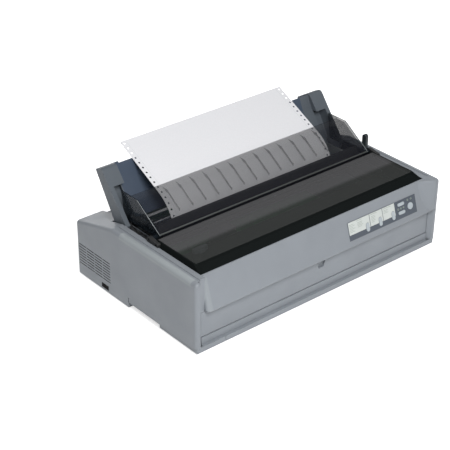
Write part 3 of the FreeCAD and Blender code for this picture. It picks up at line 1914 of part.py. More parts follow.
def tension_unit():
    """Dark bar over the platen with small rollers that hold the sheet down."""
    outline = [
        (tension_front, tension_low),
        (tension_front, tension_high),
        (tension_step_y, tension_high),
        (tension_crest_y, tension_crest),
        (tension_rear, tension_crest),
        (tension_rear, tension_low),
    ]
    bar = prism_x(outline, -tension_half, tension_half)
    bar = rounded(
        bar,
        case_wall,
        lambda a, b: near(a.z, tension_crest) and near(b.z, tension_crest) and near(a.y, b.y),
    )
    foot = block(
        tension_half - tension_foot,
        frame_x,
        tension_front,
        tension_rear,
        frame_top_z,
        tension_low + case_wall,
    )
    pieces = [bar] + both_sides(foot)
    spacing = paper_width / tension_roller_count
    for place in range(tension_roller_count):
        x = path_centre + (place - (tension_roller_count - 1) / 2) * spacing
        pieces.append(rod_x(
            tension_roller_radius,
            x - tension_roller_length / 2,
            x + tension_roller_length / 2,
            tension_rear - tension_roller_radius,
            tension_low,
        ))
    return joined(pieces)


# Levers

def paper_release_lever():
    x0 = release_x - release_thickness / 2
    arm = block(
        x0,
        x0 + release_thickness,
        release_y - release_width / 2,
        release_y + release_width / 2,
        release_pivot_z,
        release_top_z - release_width / 2,
    )
    head = rod_x(release_width / 2, x0, x0 + release_thickness, release_y, release_top_z - release_width / 2)
    hub = rod_x(release_hub, x0, x0 + release_thickness, release_y, release_pivot_z)
    stem_start = frame_x - frame_sheet - overrun
    stem = rod_x(release_stem, stem_start, x0 + release_thickness, release_y, release_pivot_z)
    return joined([arm, head, hub, stem])


def paper_thickness_lever():
    x1 = -frame_x + frame_sheet + fit_gap + gap_lever_thickness
    x0 = x1 - gap_lever_thickness
    arm = block(
        x0, x1, gap_lever_y - gap_lever_width / 2, gap_lever_y + gap_lever_width / 2,
        gap_lever_z, gap_lever_top - gap_lever_width / 2)
    head = rod_x(gap_lever_width / 2, x0, x1, gap_lever_y, gap_lever_top - gap_lever_width / 2)
    hub = rod_x(gap_lever_width, x0, x1, gap_lever_y, gap_lever_z)
    stem = rod_x(gap_lever_stem, -frame_x - overrun / 2, x1, gap_lever_y, gap_lever_z)
    return joined([arm, head, hub, stem])


# Electronics and sockets

def standoff_places():
    xs = (main_board_left + standoff_inset, main_board_right - standoff_inset)
    ys = (main_board_front + standoff_inset, main_board_rear - standoff_inset)
    return [(x, y) for x in xs for y in ys]


def main_board():
    top = main_board_height + board_thickness
    board = block(
        main_board_left, main_board_right, main_board_front, main_board_rear, main_board_height, top)
    pieces = [board]
    spacing = (main_board_right - main_board_left) / 5
    for column in range(4):
        for row in range(2):
            x = main_board_left + spacing * (column + 1)
            y = main_board_rear - standoff_inset * 3 - row * chip_length
            left = x - chip_length / 2
            pieces.append(block(left, left + chip_length, y - chip_width, y, top, top + chip_height))
    return joined(pieces)


def power_supply():
    x0 = -half_width + case_wall + supply_gap
    x1 = x0 + supply_width
    y1 = supply_front + supply_length
    box = block(x0, x1, supply_front, y1, supply_low, supply_high)
    pieces = [box]
    for y0 in (supply_front, y1 - supply_leg):
        pieces.append(block(x1 - supply_leg, x1, y0, y0 + supply_leg, floor_top, supply_low))
    return joined(pieces)


def power_switch():
    """Switch body behind its window, with a rim round the rocker."""
    x0 = -half_width
    x1 = x0 + rocker_rim
    y0, y1 = rocker_y - rocker_length / 2, rocker_y + rocker_length / 2
    z0, z1 = rocker_z - rocker_height / 2, rocker_z + rocker_height / 2
    shell = block(x0, x0 + rocker_depth + rocker_body, y0, y1, z0, z1)
    room = block(
        x0 - overrun, x0 + rocker_depth, y0 + rocker_rim, y1 - rocker_rim, z0 + rocker_rim, z1 - rocker_rim)
    pin = rod_z_dir(rocker_rim / 2, z0, z1, x1 + overrun, rocker_y)
    return joined([shell.cut(room), pin])


def power_rocker():
    half = rocker_length / 2 - rocker_rim - 3 * fit_gap
    high = rocker_height / 2 - rocker_rim - fit_gap
    pivot_x = -half_width + rocker_rim + overrun
    front = -half_width
    outline = [
        (front, rocker_y - half),
        (front + rocker_rim / 2, rocker_y),
        (front, rocker_y + half),
        (pivot_x, rocker_y + half - rocker_rim),
        (pivot_x + rocker_rim, rocker_y),
        (pivot_x, rocker_y - half + rocker_rim),
    ]
    cap = prism_z(outline, rocker_z - high, rocker_z + high)
    pin_hole = rocker_rim / 2 + shaft_clearance
    cap = cap.cut(rod_z_dir(pin_hole, rocker_z - rocker_height, rocker_z + rocker_height, pivot_x, rocker_y))
    cap.rotate(point(pivot_x, rocker_y, rocker_z), point(0, 0, 1), rocker_tilt)
    return cap


def ac_inlet():
    y1 = half_depth
    y0 = y1 - inlet_depth
    x0, x1 = inlet_x - inlet_width / 2, inlet_x + inlet_width / 2
    z0, z1 = inlet_low, inlet_low + inlet_height
    body = block(x0, x1, y0, y1, z0, z1)
    room = block(
        x0 + inlet_wall, x1 - inlet_wall, y0 + inlet_wall, y1 + overrun, z0 + inlet_wall, z1 - inlet_wall)
    pieces = [body.cut(room)]
    middle = (z0 + z1) / 2
    for x, z in ((inlet_x - inlet_blade_offset, middle), (inlet_x + inlet_blade_offset, middle),
                 (inlet_x, middle + inlet_blade)):
        pieces.append(block(
            x - inlet_blade / 2, x + inlet_blade / 2, y0, y1 - inlet_wall,
            z - inlet_blade_long / 2, z + inlet_blade_long / 2))
    return joined(pieces)


def interface_connector():
    y1 = half_depth
    y0 = y1 - port_depth
    x0, x1 = port_x - port_width / 2, port_x + port_width / 2
    z0, z1 = port_low, port_low + port_height
    body = block(x0, x1, y0, y1, z0, z1)
    room = block(x0 + port_wall, x1 - port_wall, y0 + port_wall, y1 + overrun, z0 + port_wall, z1 - port_wall)
    middle = (z0 + z1) / 2
    tongue = block(
        x0 + 2 * port_wall + port_tongue,
        x1 - 2 * port_wall - port_tongue,
        y0,
        y1 - port_recess,
        middle - port_tongue / 2,
        middle + port_tongue / 2,
    )
    return joined([body.cut(room), tongue])


def feet():
    pads = []
    for x in (-half_width + foot_edge, half_width - foot_edge):
        for y in (front_y + foot_front, half_depth - foot_front):
            pads.append(rod_z_dir(foot_radius, 0, foot_height, x, y))
    return Part.makeCompound(pads)


def case_screws():
    screws = []
    for x, y in boss_places():
        head = rod_z_dir(screw_head_radius, foot_height, foot_height + screw_head_height, x, y)
        shank = rod_z_dir(screw_radius, foot_height, foot_height + screw_length, x, y)
        screws.append(joined([head, shank]))
    return Part.makeCompound(screws)


def all_pieces():
    pieces = {
        "lower_case": lower_case(),
        "upper_case": upper_case(),
        "front_cover": front_cover(),
        "printer_cover": printer_cover(),
        "separator_cover": separator_cover(),
        "tear_bar": tear_bar(),
        "paper_guide": paper_guide(),
        "paper_page": paper_page(),
        "control_label": control_label(),
        "indicator_lights": indicator_lights(),
        "panel_board": panel_board(),
        "platen_roller": platen_roller(),
        "platen_shaft": platen_shaft(),
        "platen_gear": platen_gear(),
        "platen_knob": platen_knob(),
        "feed_motor": feed_motor(),
        "feed_pinion": feed_pinion(),
        "feed_idler_gear": feed_idler_gear(),
        "tractor_drive_shaft": tractor_drive_shaft(),
        "tractor_gear": tractor_gear(),
        "tractor_rod": tractor_rod(),
        "carriage": carriage(),
        "print_head": print_head(),
        "carriage_rod": carriage_rod(),
        "guide_rail": guide_rail(),
        "drive_belt": drive_belt(),
        "drive_pulley": belt_pulley(-1),
        "idler_pulley": belt_pulley(1),
        "carriage_motor": carriage_motor(),
        "ribbon_cartridge": ribbon_cartridge(),
        "ribbon": ribbon(),
        "ribbon_knob": ribbon_knob(),
        "tension_unit": tension_unit(),
        "frame_left": frame_left(),
        "frame_right": frame_right(),
        "rear_beam": rear_beam(),
        "main_board": main_board(),
        "power_supply": power_supply(),
        "power_switch": power_switch(),
        "power_rocker": power_rocker(),
        "ac_inlet": ac_inlet(),
        "interface_connector": interface_connector(),
        "paper_release_lever": paper_release_lever(),
        "paper_thickness_lever": paper_thickness_lever(),
        "feet": feet(),
        "case_screws": case_screws(),
    }
    for name, width, height, u, v in key_outlines():
        pieces[name] = key_cap(width, height, u, v)
    for side, word in ((-1, "left"), (1, "right")):
        pieces["tractor_" + word] = placed_tractor(tractor_body(), side)
        pieces["tractor_lid_" + word] = placed_tractor(tractor_lid(), side)
        pieces["tractor_lock_" + word] = placed_tractor(tractor_lock(), side)
        pieces["pin_belt_" + word] = placed_tractor(pin_belt(), side)
    return pieces


case_shift_x = -knob_reach / 2


def write_pieces():
    os.makedirs("parts", exist_ok=True)
    for name, shape in all_pieces().items():
        moved = shape.copy()
        moved.translate(point(case_shift_x, 0, 0))
        moved.exportStep("parts/" + name + ".step")
        state = "valid" if moved.isValid() else "NOT VALID"
        print(name, len(moved.Solids), "solid(s)", round(moved.Volume), "mm3", state)


write_pieces()
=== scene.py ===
"""Looks of a wide-carriage dot matrix printer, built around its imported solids."""

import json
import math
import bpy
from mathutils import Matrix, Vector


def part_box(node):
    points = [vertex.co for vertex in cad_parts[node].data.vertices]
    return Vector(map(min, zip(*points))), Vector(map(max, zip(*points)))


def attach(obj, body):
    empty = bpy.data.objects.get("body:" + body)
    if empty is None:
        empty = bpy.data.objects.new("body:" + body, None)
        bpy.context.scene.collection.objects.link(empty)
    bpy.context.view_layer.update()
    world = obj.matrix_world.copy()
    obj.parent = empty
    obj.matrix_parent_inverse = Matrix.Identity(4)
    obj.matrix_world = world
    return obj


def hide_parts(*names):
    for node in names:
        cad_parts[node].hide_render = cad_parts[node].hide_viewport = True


bl_info = {
    "name": "Dot matrix printer looks",
    "version": (1, 0, 0),
    "blender": (4, 5, 0),
    "location": "View3D > Sidebar > Printer",
    "description": "Finishes and small parts of a printer with hinged covers",
    "category": "Add Mesh",
}

import bmesh
import bpy
from mathutils import Matrix, Vector

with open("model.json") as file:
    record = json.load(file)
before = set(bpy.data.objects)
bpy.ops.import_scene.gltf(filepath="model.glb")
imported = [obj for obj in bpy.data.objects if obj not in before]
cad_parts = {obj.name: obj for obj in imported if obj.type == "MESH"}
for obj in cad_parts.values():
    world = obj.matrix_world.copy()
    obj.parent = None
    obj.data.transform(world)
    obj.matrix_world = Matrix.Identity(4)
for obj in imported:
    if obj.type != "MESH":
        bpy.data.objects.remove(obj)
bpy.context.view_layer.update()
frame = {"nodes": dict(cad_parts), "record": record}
NODES = frame["nodes"]
MM = 0.001


# Places taken from the frame, in metres
def low(node):
    return Vector(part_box(node)[0])


def high(node):
    return Vector(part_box(node)[1])


def middle(node):
    return (low(node) + high(node)) / 2


def half_width(node):
    return (high(node).x - low(node).x) / 2


BEZEL_TILT = math.atan2(69, 22)
BEZEL_SLOPE = math.tan(BEZEL_TILT)
SIN, COS = math.sin(BEZEL_TILT), math.cos(BEZEL_TILT)
LABEL_THICK = 0.8 * MM
LABEL = low("control_label")
# The control panel's plane: u across it, v up its slope, and outwards from the label's back
PANEL = Matrix((
    (1, 0, 0, LABEL.x),
    (0, COS, -SIN, LABEL.y + LABEL_THICK * SIN),
    (0, SIN, COS, LABEL.z),
    (0, 0, 0, 1),
))


# Noise mostly lies between these two, and every fine bump has this height
NOISE_LOW, NOISE_HIGH = 0.3, 0.7
BUMP_HEIGHT = 0.2 * MM


# Colour and node helpers
def linear(code, alpha=1.0):
    """sRGB hex colour as the linear values that Blender's sockets hold."""
    parts = [int(code[i:i + 2], 16) / 255 for i in (1, 3, 5)]
    return tuple(p / 12.92 if p <= 0.04045 else ((p + 0.055) / 1.055) ** 2.4 for p in parts) + (alpha,)


def add(tree, kind, links=None, **settings):
    """Adds one node; links and plain values are given by input name or number."""
    node = tree.nodes.new(kind)
    for name, value in settings.items():
        setattr(node, name, value)
    for key, value in (links or {}).items():
        if isinstance(value, bpy.types.NodeSocket):
            tree.links.new(value, node.inputs[key])
        else:
            node.inputs[key].default_value = value
    return node


def blank(name):
    """An empty material with a Principled shader, its output and Object coordinates."""
    mat = bpy.data.materials.new(name)
    mat.use_nodes = True
    tree = mat.node_tree
    tree.nodes.clear()
    shader = add(tree, "ShaderNodeBsdfPrincipled")
    add(tree, "ShaderNodeOutputMaterial", {"Surface": shader.outputs["BSDF"]})
    coords = add(tree, "ShaderNodeTexCoord").outputs["Object"]
    return mat, tree, shader, coords


def per_metre(size_mm):
    """Texture scale that gives a pattern of that size."""
    return 1000 / size_mm


def mottled(tree, coords, code, spread, size_mm, shader):
    """Slow change of shade across a surface, as even moulding and age leave it."""
    noise = add(tree, "ShaderNodeTexNoise", {"Vector": coords, "Scale": per_metre(size_mm), "Detail": 3.0})
    base = linear(code)
    ramp = add(tree, "ShaderNodeValToRGB", {"Fac": noise.outputs["Fac"]})
    ramp.color_ramp.elements[0].position = NOISE_LOW
    ramp.color_ramp.elements[1].position = NOISE_HIGH
    ramp.color_ramp.elements[0].color = tuple(c * (1 - spread) for c in base[:3]) + (1,)
    ramp.color_ramp.elements[1].color = tuple(min(1, c * (1 + spread)) for c in base[:3]) + (1,)
    tree.links.new(ramp.outputs["Color"], shader.inputs["Base Color"])


def grained(tree, coords, size_mm, depth, shader, detail=2.0):
    """Fine even bump of one grain size."""
    noise = add(tree, "ShaderNodeTexNoise", {"Vector": coords, "Scale": per_metre(size_mm), "Detail": detail})
    bump = add(tree, "ShaderNodeBump", {
        "Height": noise.outputs["Fac"], "Strength": depth, "Distance": BUMP_HEIGHT})
    tree.links.new(bump.outputs["Normal"], shader.inputs["Normal"])


def varied_roughness(tree, coords, low_value, high_value, size_mm, shader):
    """Roughness that wanders between two values, as handling and wear leave it."""
    noise = add(tree, "ShaderNodeTexNoise", {"Vector": coords, "Scale": per_metre(size_mm), "Detail": 4.0})
    spread = add(tree, "ShaderNodeMapRange", {
        "Value": noise.outputs["Fac"], "From Min": NOISE_LOW, "From Max": NOISE_HIGH,
        "To Min": low_value, "To Max": high_value})
    tree.links.new(spread.outputs["Result"], shader.inputs["Roughness"])


def surfaced(name, code, shade, grain, rough, sockets, stretch=None):
    """A finish whose shade and roughness wander over a fine grain."""
    mat, tree, shader, coords = blank(name)
    if stretch:
        coords = add(tree, "ShaderNodeMapping", {"Vector": coords, "Scale": stretch}).outputs["Vector"]
    mottled(tree, coords, code, *shade, shader)
    grained(tree, coords, *grain[:2], shader, *grain[2:])
    varied_roughness(tree, coords, *rough, shader)
    for socket, value in sockets.items():
        shader.inputs[socket].default_value = value
    return mat


def spark_eroded_abs(name, code, spread=0.035):
    """ABS moulded in a spark-eroded tool: a fine pebbled skin with a soft, wide highlight."""
    # The real grain is about 0.1 mm; it is drawn coarser so that it shows.
    return surfaced(name, code, (spread, 60), (0.9, 0.35), (0.46, 0.58, 35), {"IOR": 1.53})


def polished_clear_styrene(name, code, alpha):
    """Polished see-through polystyrene: sharp highlights over a tinted, half-hidden inside."""
    return surfaced(name, code, (0.05, 90), (40, 0.08, 1.0), (0.056, 0.12, 50),
                    {"IOR": 1.58, "Alpha": alpha, "Specular IOR Level": 0.5})


def moulded_plain(name, code, rough, spread=0.03):
    """Smooth injection-moulded plastic: even colour and a clearer highlight than grained skin."""
    return surfaced(name, code, (spread, 25), (3, 0.08), (rough * 0.85, rough * 1.2, 12), {"IOR": 1.5})


def worked_metal(name, code, rough, stretch, size_mm, depth=0.2):
    """Bare metal with the lay of its last working stretched along one axis."""
    return surfaced(name, code, (0.06, size_mm * 2), (size_mm, depth),
                    (rough * 0.8, rough * 1.25, size_mm * 4), {"Metallic": 1.0}, stretch)


def vulcanised_rubber(name, code, rough):
    """Carbon-black rubber: nearly black, with a dull soft sheen."""
    return surfaced(name, code, (0.15, 20), (1.2, 0.2), (rough * 0.9, min(1, rough * 1.1), 15), {"IOR": 1.52})


def change_over(tree, value, start, end, tone, code, shader):
    """Runs the base colour over to another one as a value goes from start to end."""
    share = add(tree, "ShaderNodeMapRange", {"Value": value, "From Min": start, "From Max": end})
    mixed = add(tree, "ShaderNodeMix", {
        0: share.outputs["Result"], 6: tone, 7: linear(code)}, data_type="RGBA")
    tree.links.new(mixed.outputs[2], shader.inputs["Base Color"])


def parts_of(mat):
    """The tree, Principled shader, Object coordinates and base colour of a finish."""
    tree = mat.node_tree
    shader = next(n for n in tree.nodes if n.type == "BSDF_PRINCIPLED")
    coords = next(n for n in tree.nodes if n.type == "TEX_COORD").outputs["Object"]
    return tree, shader, coords, shader.inputs["Base Color"].links[0].from_socket


def distance(tree, value, centre):
    """How far a coordinate lies from a place, to either side."""
    off = add(tree, "ShaderNodeMath", {0: value, 1: centre}, operation="SUBTRACT")
    return add(tree, "ShaderNodeMath", {0: off.outputs[0]}, operation="ABSOLUTE").outputs[0]


def zone(tree, place, centre, reach_mm):
    """1 within a box round a place and 0 outside it, with sides 3 mm soft."""
    inside = None
    for axis, at, reach in zip("XYZ", centre, reach_mm):
        share = add(tree, "ShaderNodeMapRange", {
            "Value": distance(tree, place.outputs[axis], at), "From Min": (reach - 2) * MM,
            "From Max": (reach + 1) * MM, "To Min": 1.0, "To Max": 0.0}).outputs["Result"]
        inside = share if inside is None else add(
            tree, "ShaderNodeMath", {0: inside, 1: share}, operation="MULTIPLY").outputs[0]
    return inside


def bordered_styrene(name, code, alpha, edges, border, rear=None):
    """See-through polystyrene whose side and front borders hide more, as print or thickness does."""
    mat = polished_clear_styrene(name, code, alpha)
    tree, shader, coords, tone = parts_of(mat)
    place = add(tree, "ShaderNodeSeparateXYZ", {"Vector": coords}).outputs
    # Painted reflection: the colour runs lighter towards the rear, where the sky's sheen lies
    if rear:
        start, end, sheen_code = rear
        change_over(tree, place["Y"], start, end, tone, sheen_code, shader)
    centre, half, front = edges
    border_code, border_alpha, border_gloss = border
    side = add(tree, "ShaderNodeMath", {
        0: distance(tree, place["X"], centre), 1: half}, operation="GREATER_THAN")
    fore = add(tree, "ShaderNodeMath", {0: place["Y"], 1: front}, operation="LESS_THAN")
    edge = add(tree, "ShaderNodeMath", {
        0: side.outputs[0], 1: fore.outputs[0]}, operation="MAXIMUM").outputs[0]
    change_over(tree, edge, 0.0, 1.0, parts_of(mat)[3], border_code, shader)
    for socket, value in (("Alpha", border_alpha), ("Specular IOR Level", border_gloss)):
        level = add(tree, "ShaderNodeMapRange", {
            "Value": edge, "To Min": shader.inputs[socket].default_value, "To Max": value})
        tree.links.new(level.outputs["Result"], shader.inputs[socket])
    return mat


def uncoated_paper(name, code, page_middle, fold_offset):
    """Uncoated wood-free paper: matt white fibres, with a fine tear line along both edge strips."""
    mat, tree, shader, coords = blank(name)
    place = add(tree, "ShaderNodeSeparateXYZ", {"Vector": coords})
    away = distance(tree, place.outputs["X"], page_middle)
    line = add(tree, "ShaderNodeMath", {0: away, 1: fold_offset, 2: 0.25 * MM}, operation="COMPARE")
    fibre = add(tree, "ShaderNodeTexNoise", {"Vector": coords, "Scale": per_metre(2.5), "Detail": 6.0})
    tone = add(tree, "ShaderNodeMapRange", {
        "Value": fibre.outputs["Fac"], "From Min": NOISE_LOW, "From Max": NOISE_HIGH,
        "To Min": 0.0, "To Max": 0.35})
    white = add(tree, "ShaderNodeMix", {
        0: tone.outputs["Result"], 6: linear(code), 7: linear("#d3d5d8")}, data_type="RGBA")
    drawn = add(tree, "ShaderNodeMix", {
        0: line.outputs[0], 6: white.outputs[2], 7: linear("#c6c8cb")}, data_type="RGBA")
    tree.links.new(drawn.outputs[2], shader.inputs["Base Color"])
    grained(tree, coords, 1.2, 0.15, shader, 5.0)
    for socket, value in (("Roughness", 0.9), ("IOR", 1.5), ("Specular IOR Level", 0.2)):
        shader.inputs[socket].default_value = value
    return mat


def woven_ribbon(name, code, thread_mm):
    """Inked nylon ribbon: a close plain weave, wet-black where the ink lies."""
    mat, tree, shader, coords = blank(name)
    # The threads are drawn coarser than the real ones so that the weave shows.
    rows, columns = [
        add(tree, "ShaderNodeTexWave", {
            "Vector": coords, "Scale": per_metre(thread_mm * 6), "Distortion": 0.4}, bands_direction=axis)
        for axis in "ZX"]
    weave = add(tree, "ShaderNodeMath", {
        0: rows.outputs["Fac"], 1: columns.outputs["Fac"]}, operation="MULTIPLY")
    bump = add(tree, "ShaderNodeBump", {"Height": weave.outputs[0], "Strength": 0.5, "Distance": BUMP_HEIGHT})
    tree.links.new(bump.outputs["Normal"], shader.inputs["Normal"])
    mottled(tree, coords, code, 0.3, 15, shader)
    shader.inputs["Roughness"].default_value = 0.6
    return mat


def lacquered_board(name, code, track_mm):
    """Glass-fibre board under solder lacquer: glossy green with paler tracks under it."""
    mat, tree, shader, coords = blank(name)
    cells = add(tree, "ShaderNodeTexVoronoi", {
        "Vector": coords, "Scale": per_metre(track_mm)}, distance="MANHATTAN")
    tracks = add(tree, "ShaderNodeMath", {0: cells.outputs["Distance"], 1: 0.45}, operation="GREATER_THAN")
    colour = add(tree, "ShaderNodeMix", {
        0: tracks.outputs[0], 6: linear(code), 7: linear("#3f7d50")}, data_type="RGBA")
    tree.links.new(colour.outputs[2], shader.inputs["Base Color"])
    grained(tree, coords, 1.5, 0.15, shader)
    shader.inputs["Roughness"].default_value = 0.25
    return mat


# Materials by the record's slot, made once and shared
FINISHES = {}


def paint_shell_highlights(shell):
    """Paints highlights into the casing's colour where lamp light catches it: the left rim's shoulder and the
    sloping panel's left end.
    """
    tree, shader, coords, tone = parts_of(shell)
    place = add(tree, "ShaderNodeSeparateXYZ", {"Vector": coords})
    case_x = middle("upper_case").x
    shoulder = zone(tree, place, (case_x - 304 * MM, -62 * MM, 146 * MM), (6.5, 105.0, 6.5))
    panel_end = zone(tree, place, (case_x - 277.5 * MM, -174 * MM, 113 * MM), (6.0, 14.0, 31.0))
    fainter = add(tree, "ShaderNodeMath", {0: panel_end, 1: 0.45}, operation="MULTIPLY")
    painted_highlight = add(tree, "ShaderNodeMath", {0: shoulder, 1: fainter.outputs[0]}, operation="MAXIMUM")
    # Painted highlight: a paler grey in both zones, fainter on the panel's end
    change_over(tree, painted_highlight.outputs[0], 0.0, 1.0, tone, "#979da0", shader)


def paint_hollow_shade_sheen(slate):
    """Paints the guide's middle, between its wings, darker and bluer than the wings: painted shade in the
    hollow and a painted bluish sheen on its glossy face.
    """
    tree, shader, coords, tone = parts_of(slate)
    across = add(tree, "ShaderNodeSeparateXYZ", {"Vector": coords}).outputs["X"]
    away = distance(tree, across, middle("upper_case").x - 12 * MM)
    # Painted shade and sheen: the middle turns to a darker blue-grey
    change_over(tree, away, 234.5 * MM, 233.5 * MM, tone, "#3e4a5b", shader)


def make_finishes(look):
    made = FINISHES
    made["case_grey"] = spark_eroded_abs("ABS_case_grey_spark_eroded", look.case_colour)
    # Painted highlights on the left rim's shoulder and the panel's left end
    paint_shell_highlights(made["case_grey"])
    made["guide_grey"] = spark_eroded_abs("ABS_slate_spark_eroded", look.guide_colour)
    # Painted shade and bluish sheen between the guide's wings
    paint_hollow_shade_sheen(made["guide_grey"])
    lid, hood, page = middle("printer_cover"), middle("tear_bar"), middle("paper_page")
    # The printed border is dull, so it stays black where the floor would be mirrored.
    # The top runs lighter towards the rear: a painted reflection of the sky.
    made["smoked"] = bordered_styrene(
        "Polystyrene_smoked_polished", look.smoked_colour, look.smoked_cover,
        (lid.x, half_width("printer_cover") - 9 * MM, low("printer_cover").y + 22 * MM),
        ("#171a1a", 0.98, 0.0), (-90 * MM, -80 * MM, "#5c5c5e"))
    # The end walls are seen nearly edge-on, so more plastic lies in the way and they look darker.
    made["clear_tint"] = bordered_styrene(
        "Polystyrene_grey_tint_polished", look.tint_colour, look.tint_cover,
        (hood.x, half_width("tear_bar") - 3 * MM, -1.0), ("#1e242a", look.tint_end_cover, 0.12))
    made["paper"] = uncoated_paper("Paper_woodfree_uncoated", look.paper_colour, page.x, 190.5 * MM)
    made["board_green"] = lacquered_board("Glass_fibre_board_green_lacquer", "#1d5230", 4)
    made["ribbon_fabric"] = woven_ribbon("Nylon_ribbon_inked_woven", "#0e0e10", 0.4)
    made["black_plastic"] = spark_eroded_abs("ABS_black_spark_eroded", "#1f2021", 0.06)
    made["navy_plastic"] = spark_eroded_abs("ABS_blue_black_spark_eroded", look.band_colour, 0.05)
    for slot, name, code, rough in (
        ("black_rubber", "Nitrile_rubber_ground_smooth", "#1b1b1d", 0.5),
        ("belt_rubber", "Neoprene_moulded_belt", "#191919", 0.7),
        ("foot_rubber", "Rubber_foot_moulded", "#242425", 0.8),
    ):
        made[slot] = vulcanised_rubber(name, code, rough)
    # The last working, its lay along each axis and its spacing in mm; the tear strip is matt, so
    # it reads as a thin line and not as a mirror.
    for slot, name, code, rough, *lay in (
        ("bright_steel", "Steel_ground_bright", "#c9cbcd", 0.22, (1, 12, 12), 4),
        ("pinion_brass", "Brass_hobbed", "#c9a45a", 0.3, (6, 1, 1), 2),
        ("head_alloy", "Aluminium_die_cast", "#86888b", 0.45, (1, 1, 1), 2, 0.4),
        ("zinc_sheet", "Steel_sheet_zinc_plated", "#b4b8ba", 0.35, (1, 1, 1), 30, 0.1),
        ("screw_steel", "Steel_nickel_plated", "#bcbcb8", 0.25, (1, 1, 1), 3),
        ("solder", "Solder_tinned", "#c4c6c8", 0.35, (1, 1, 1), 1),
        ("tear_strip", "Steel_strip_bead_blasted", "#5f6362", 0.6, (1, 8, 8), 3),
    ):
        made[slot] = worked_metal(name, code, rough, *lay)
    for slot, name, code, rough in (
        ("lever_grey", "Acetal_dark_grey_moulded", "#30373a", 0.4),
        ("panel_white", "Polyester_film_dark_grey_printed", look.label_colour, 0.4),
        ("lamp_green", "Acrylic_green_lens", "#5f7265", 0.15),
        ("gear_dark", "Acetal_black_moulded", "#2b2c2e", 0.35),
        ("motor_steel", "Steel_can_stove_enamelled", "#3a3c3f", 0.35),
        ("knob_grey", "Polystyrene_grey_moulded", "#7e848a", 0.35),
        ("key_grey", "ABS_key_pale_grey_moulded", look.key_colour, 0.4),
        ("print_grey", "Screen_ink_grey", "#9aa39c", 0.6),
        ("chip_black", "Epoxy_chip_black", "#222324", 0.45),
        # The edge bead's grey is paler than the cover: partly a painted highlight, partly real gloss
        ("polished_edge", "Polystyrene_edge_gloss_and_painted_highlight", "#8f9496", 0.2),
        ("switch_black", "Nylon_rocker_black", "#060607", 0.6),
    ):
        made[slot] = moulded_plain(name, code, rough)
    made["card_white"] = moulded_plain("Polyester_film_white_printed", "#c4c9c6", 0.45, 0.015)
    parts_of(made["switch_black"])[1].inputs["Specular IOR Level"].default_value = 0.1


# Mesh helpers
def to_object(bm, name, slot, body, smooth=False):
    """Turns a bmesh into a finished piece that rides on a body."""
    mesh = bpy.data.meshes.new(name)
    bmesh.ops.remove_doubles(bm, verts=bm.verts, dist=1e-7)
    bmesh.ops.recalc_face_normals(bm, faces=bm.faces)
    bm.to_mesh(mesh)
    bm.free()
    for face in mesh.polygons:
        face.use_smooth = smooth
    piece = bpy.data.objects.new(name, mesh)
    bpy.context.scene.collection.objects.link(piece)
    return settle(piece, slot, body)


def settle(piece, slot, body):
    """Gives a piece its finish and its body."""
    piece.data.materials.clear()
    piece.data.materials.append(FINISHES[slot])
    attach(piece, body)
    return piece


def bevelled(piece, width, segments=2):
    """Rounds a piece's sharp edges for good."""
    mod = piece.modifiers.new("Edge", "BEVEL")
    mod.width = width
    mod.segments = segments
    mod.limit_method = "ANGLE"
    mod.angle_limit = math.radians(35)
    return baked(piece)


def baked(piece):
    """Swaps a piece's mesh for its evaluated one and drops its modifiers."""
    bpy.context.view_layer.update()
    graph = bpy.context.evaluated_depsgraph_get()
    mesh = bpy.data.meshes.new_from_object(piece.evaluated_get(graph))
    piece.modifiers.clear()
    piece.data = mesh
    return piece


def add_box(bm, lo, hi):
    """A closed box between two corners."""
    size = Vector(hi) - Vector(lo)
    centre = (Vector(hi) + Vector(lo)) / 2
    bmesh.ops.create_cube(bm, size=1, matrix=Matrix.Translation(centre) @ Matrix.Diagonal((*size, 1)))


def add_rod(bm, radius, start, end, segments=32, end_radius=None):
    """A closed round bar, or a cone, between two points."""
    start, end = Vector(start), Vector(end)
    along = end - start
    turn = along.to_track_quat("Z", "Y").to_matrix().to_4x4()
    bmesh.ops.create_cone(
        bm, cap_ends=True, segments=segments, radius1=radius,
        radius2=radius if end_radius is None else end_radius, depth=along.length,
        matrix=Matrix.Translation((start + end) / 2) @ turn)


def add_ring(bm, centre, axis, outer, inner, depth, segments=48):
    """A flat ring with square edges, about an axis."""
    axis = Vector(axis).normalized()
    side = axis.orthogonal().normalized()
    other = axis.cross(side)
    rows = []
    for k in range(segments):
        a = 2 * math.pi * k / segments
        d = side * math.cos(a) + other * math.sin(a)
        rows.append([bm.verts.new(Vector(centre) + d * r + axis * h)
                     for r, h in ((outer, 0), (outer, depth), (inner, depth), (inner, 0))])
    for k in range(segments):
        a, b = rows[k], rows[(k + 1) % segments]
        for q in range(4):
            bm.faces.new((a[q], b[q], b[(q + 1) % 4], a[(q + 1) % 4]))


def add_drawn(bm, outline, shift):
    """A closed solid, from an outline of points drawn out by a shift."""
    lower = [bm.verts.new(p) for p in outline]
    upper = [bm.verts.new(Vector(p) + Vector(shift)) for p in outline]
    bm.faces.new(lower[::-1])
    bm.faces.new(upper)
    for k in range(len(outline)):
        n = (k + 1) % len(outline)
        bm.faces.new((lower[k], lower[n], upper[n], upper[k]))


def panel_plate(bm, outline_mm, base, thickness):
    """A flat plate from (u, v) points on the control panel's plane."""
    outline = [PANEL @ Vector((u * MM, v * MM, base)) for u, v in outline_mm]
    add_drawn(bm, outline, PANEL.to_3x3() @ Vector((0, 0, thickness)))


# Geometry Nodes: rows and rings of one block
def open_tree(name, places):
    """A tree with named inputs for places, count, size and finish, and those inputs' keys."""
    tree = bpy.data.node_groups.new(name, "GeometryNodeTree")
    face = tree.interface
    face.new_socket("Geometry", in_out="INPUT", socket_type="NodeSocketGeometry")
    keys = {}
    for label, kind in (*places, ("Count", "Int"), ("Size", "Vector"), ("Finish", "Material")):
        keys[label] = face.new_socket(
            label, in_out="INPUT", socket_type="NodeSocket" + kind).identifier
    face.new_socket("Geometry", in_out="OUTPUT", socket_type="NodeSocketGeometry")
    return tree, add(tree, "NodeGroupInput").outputs, keys


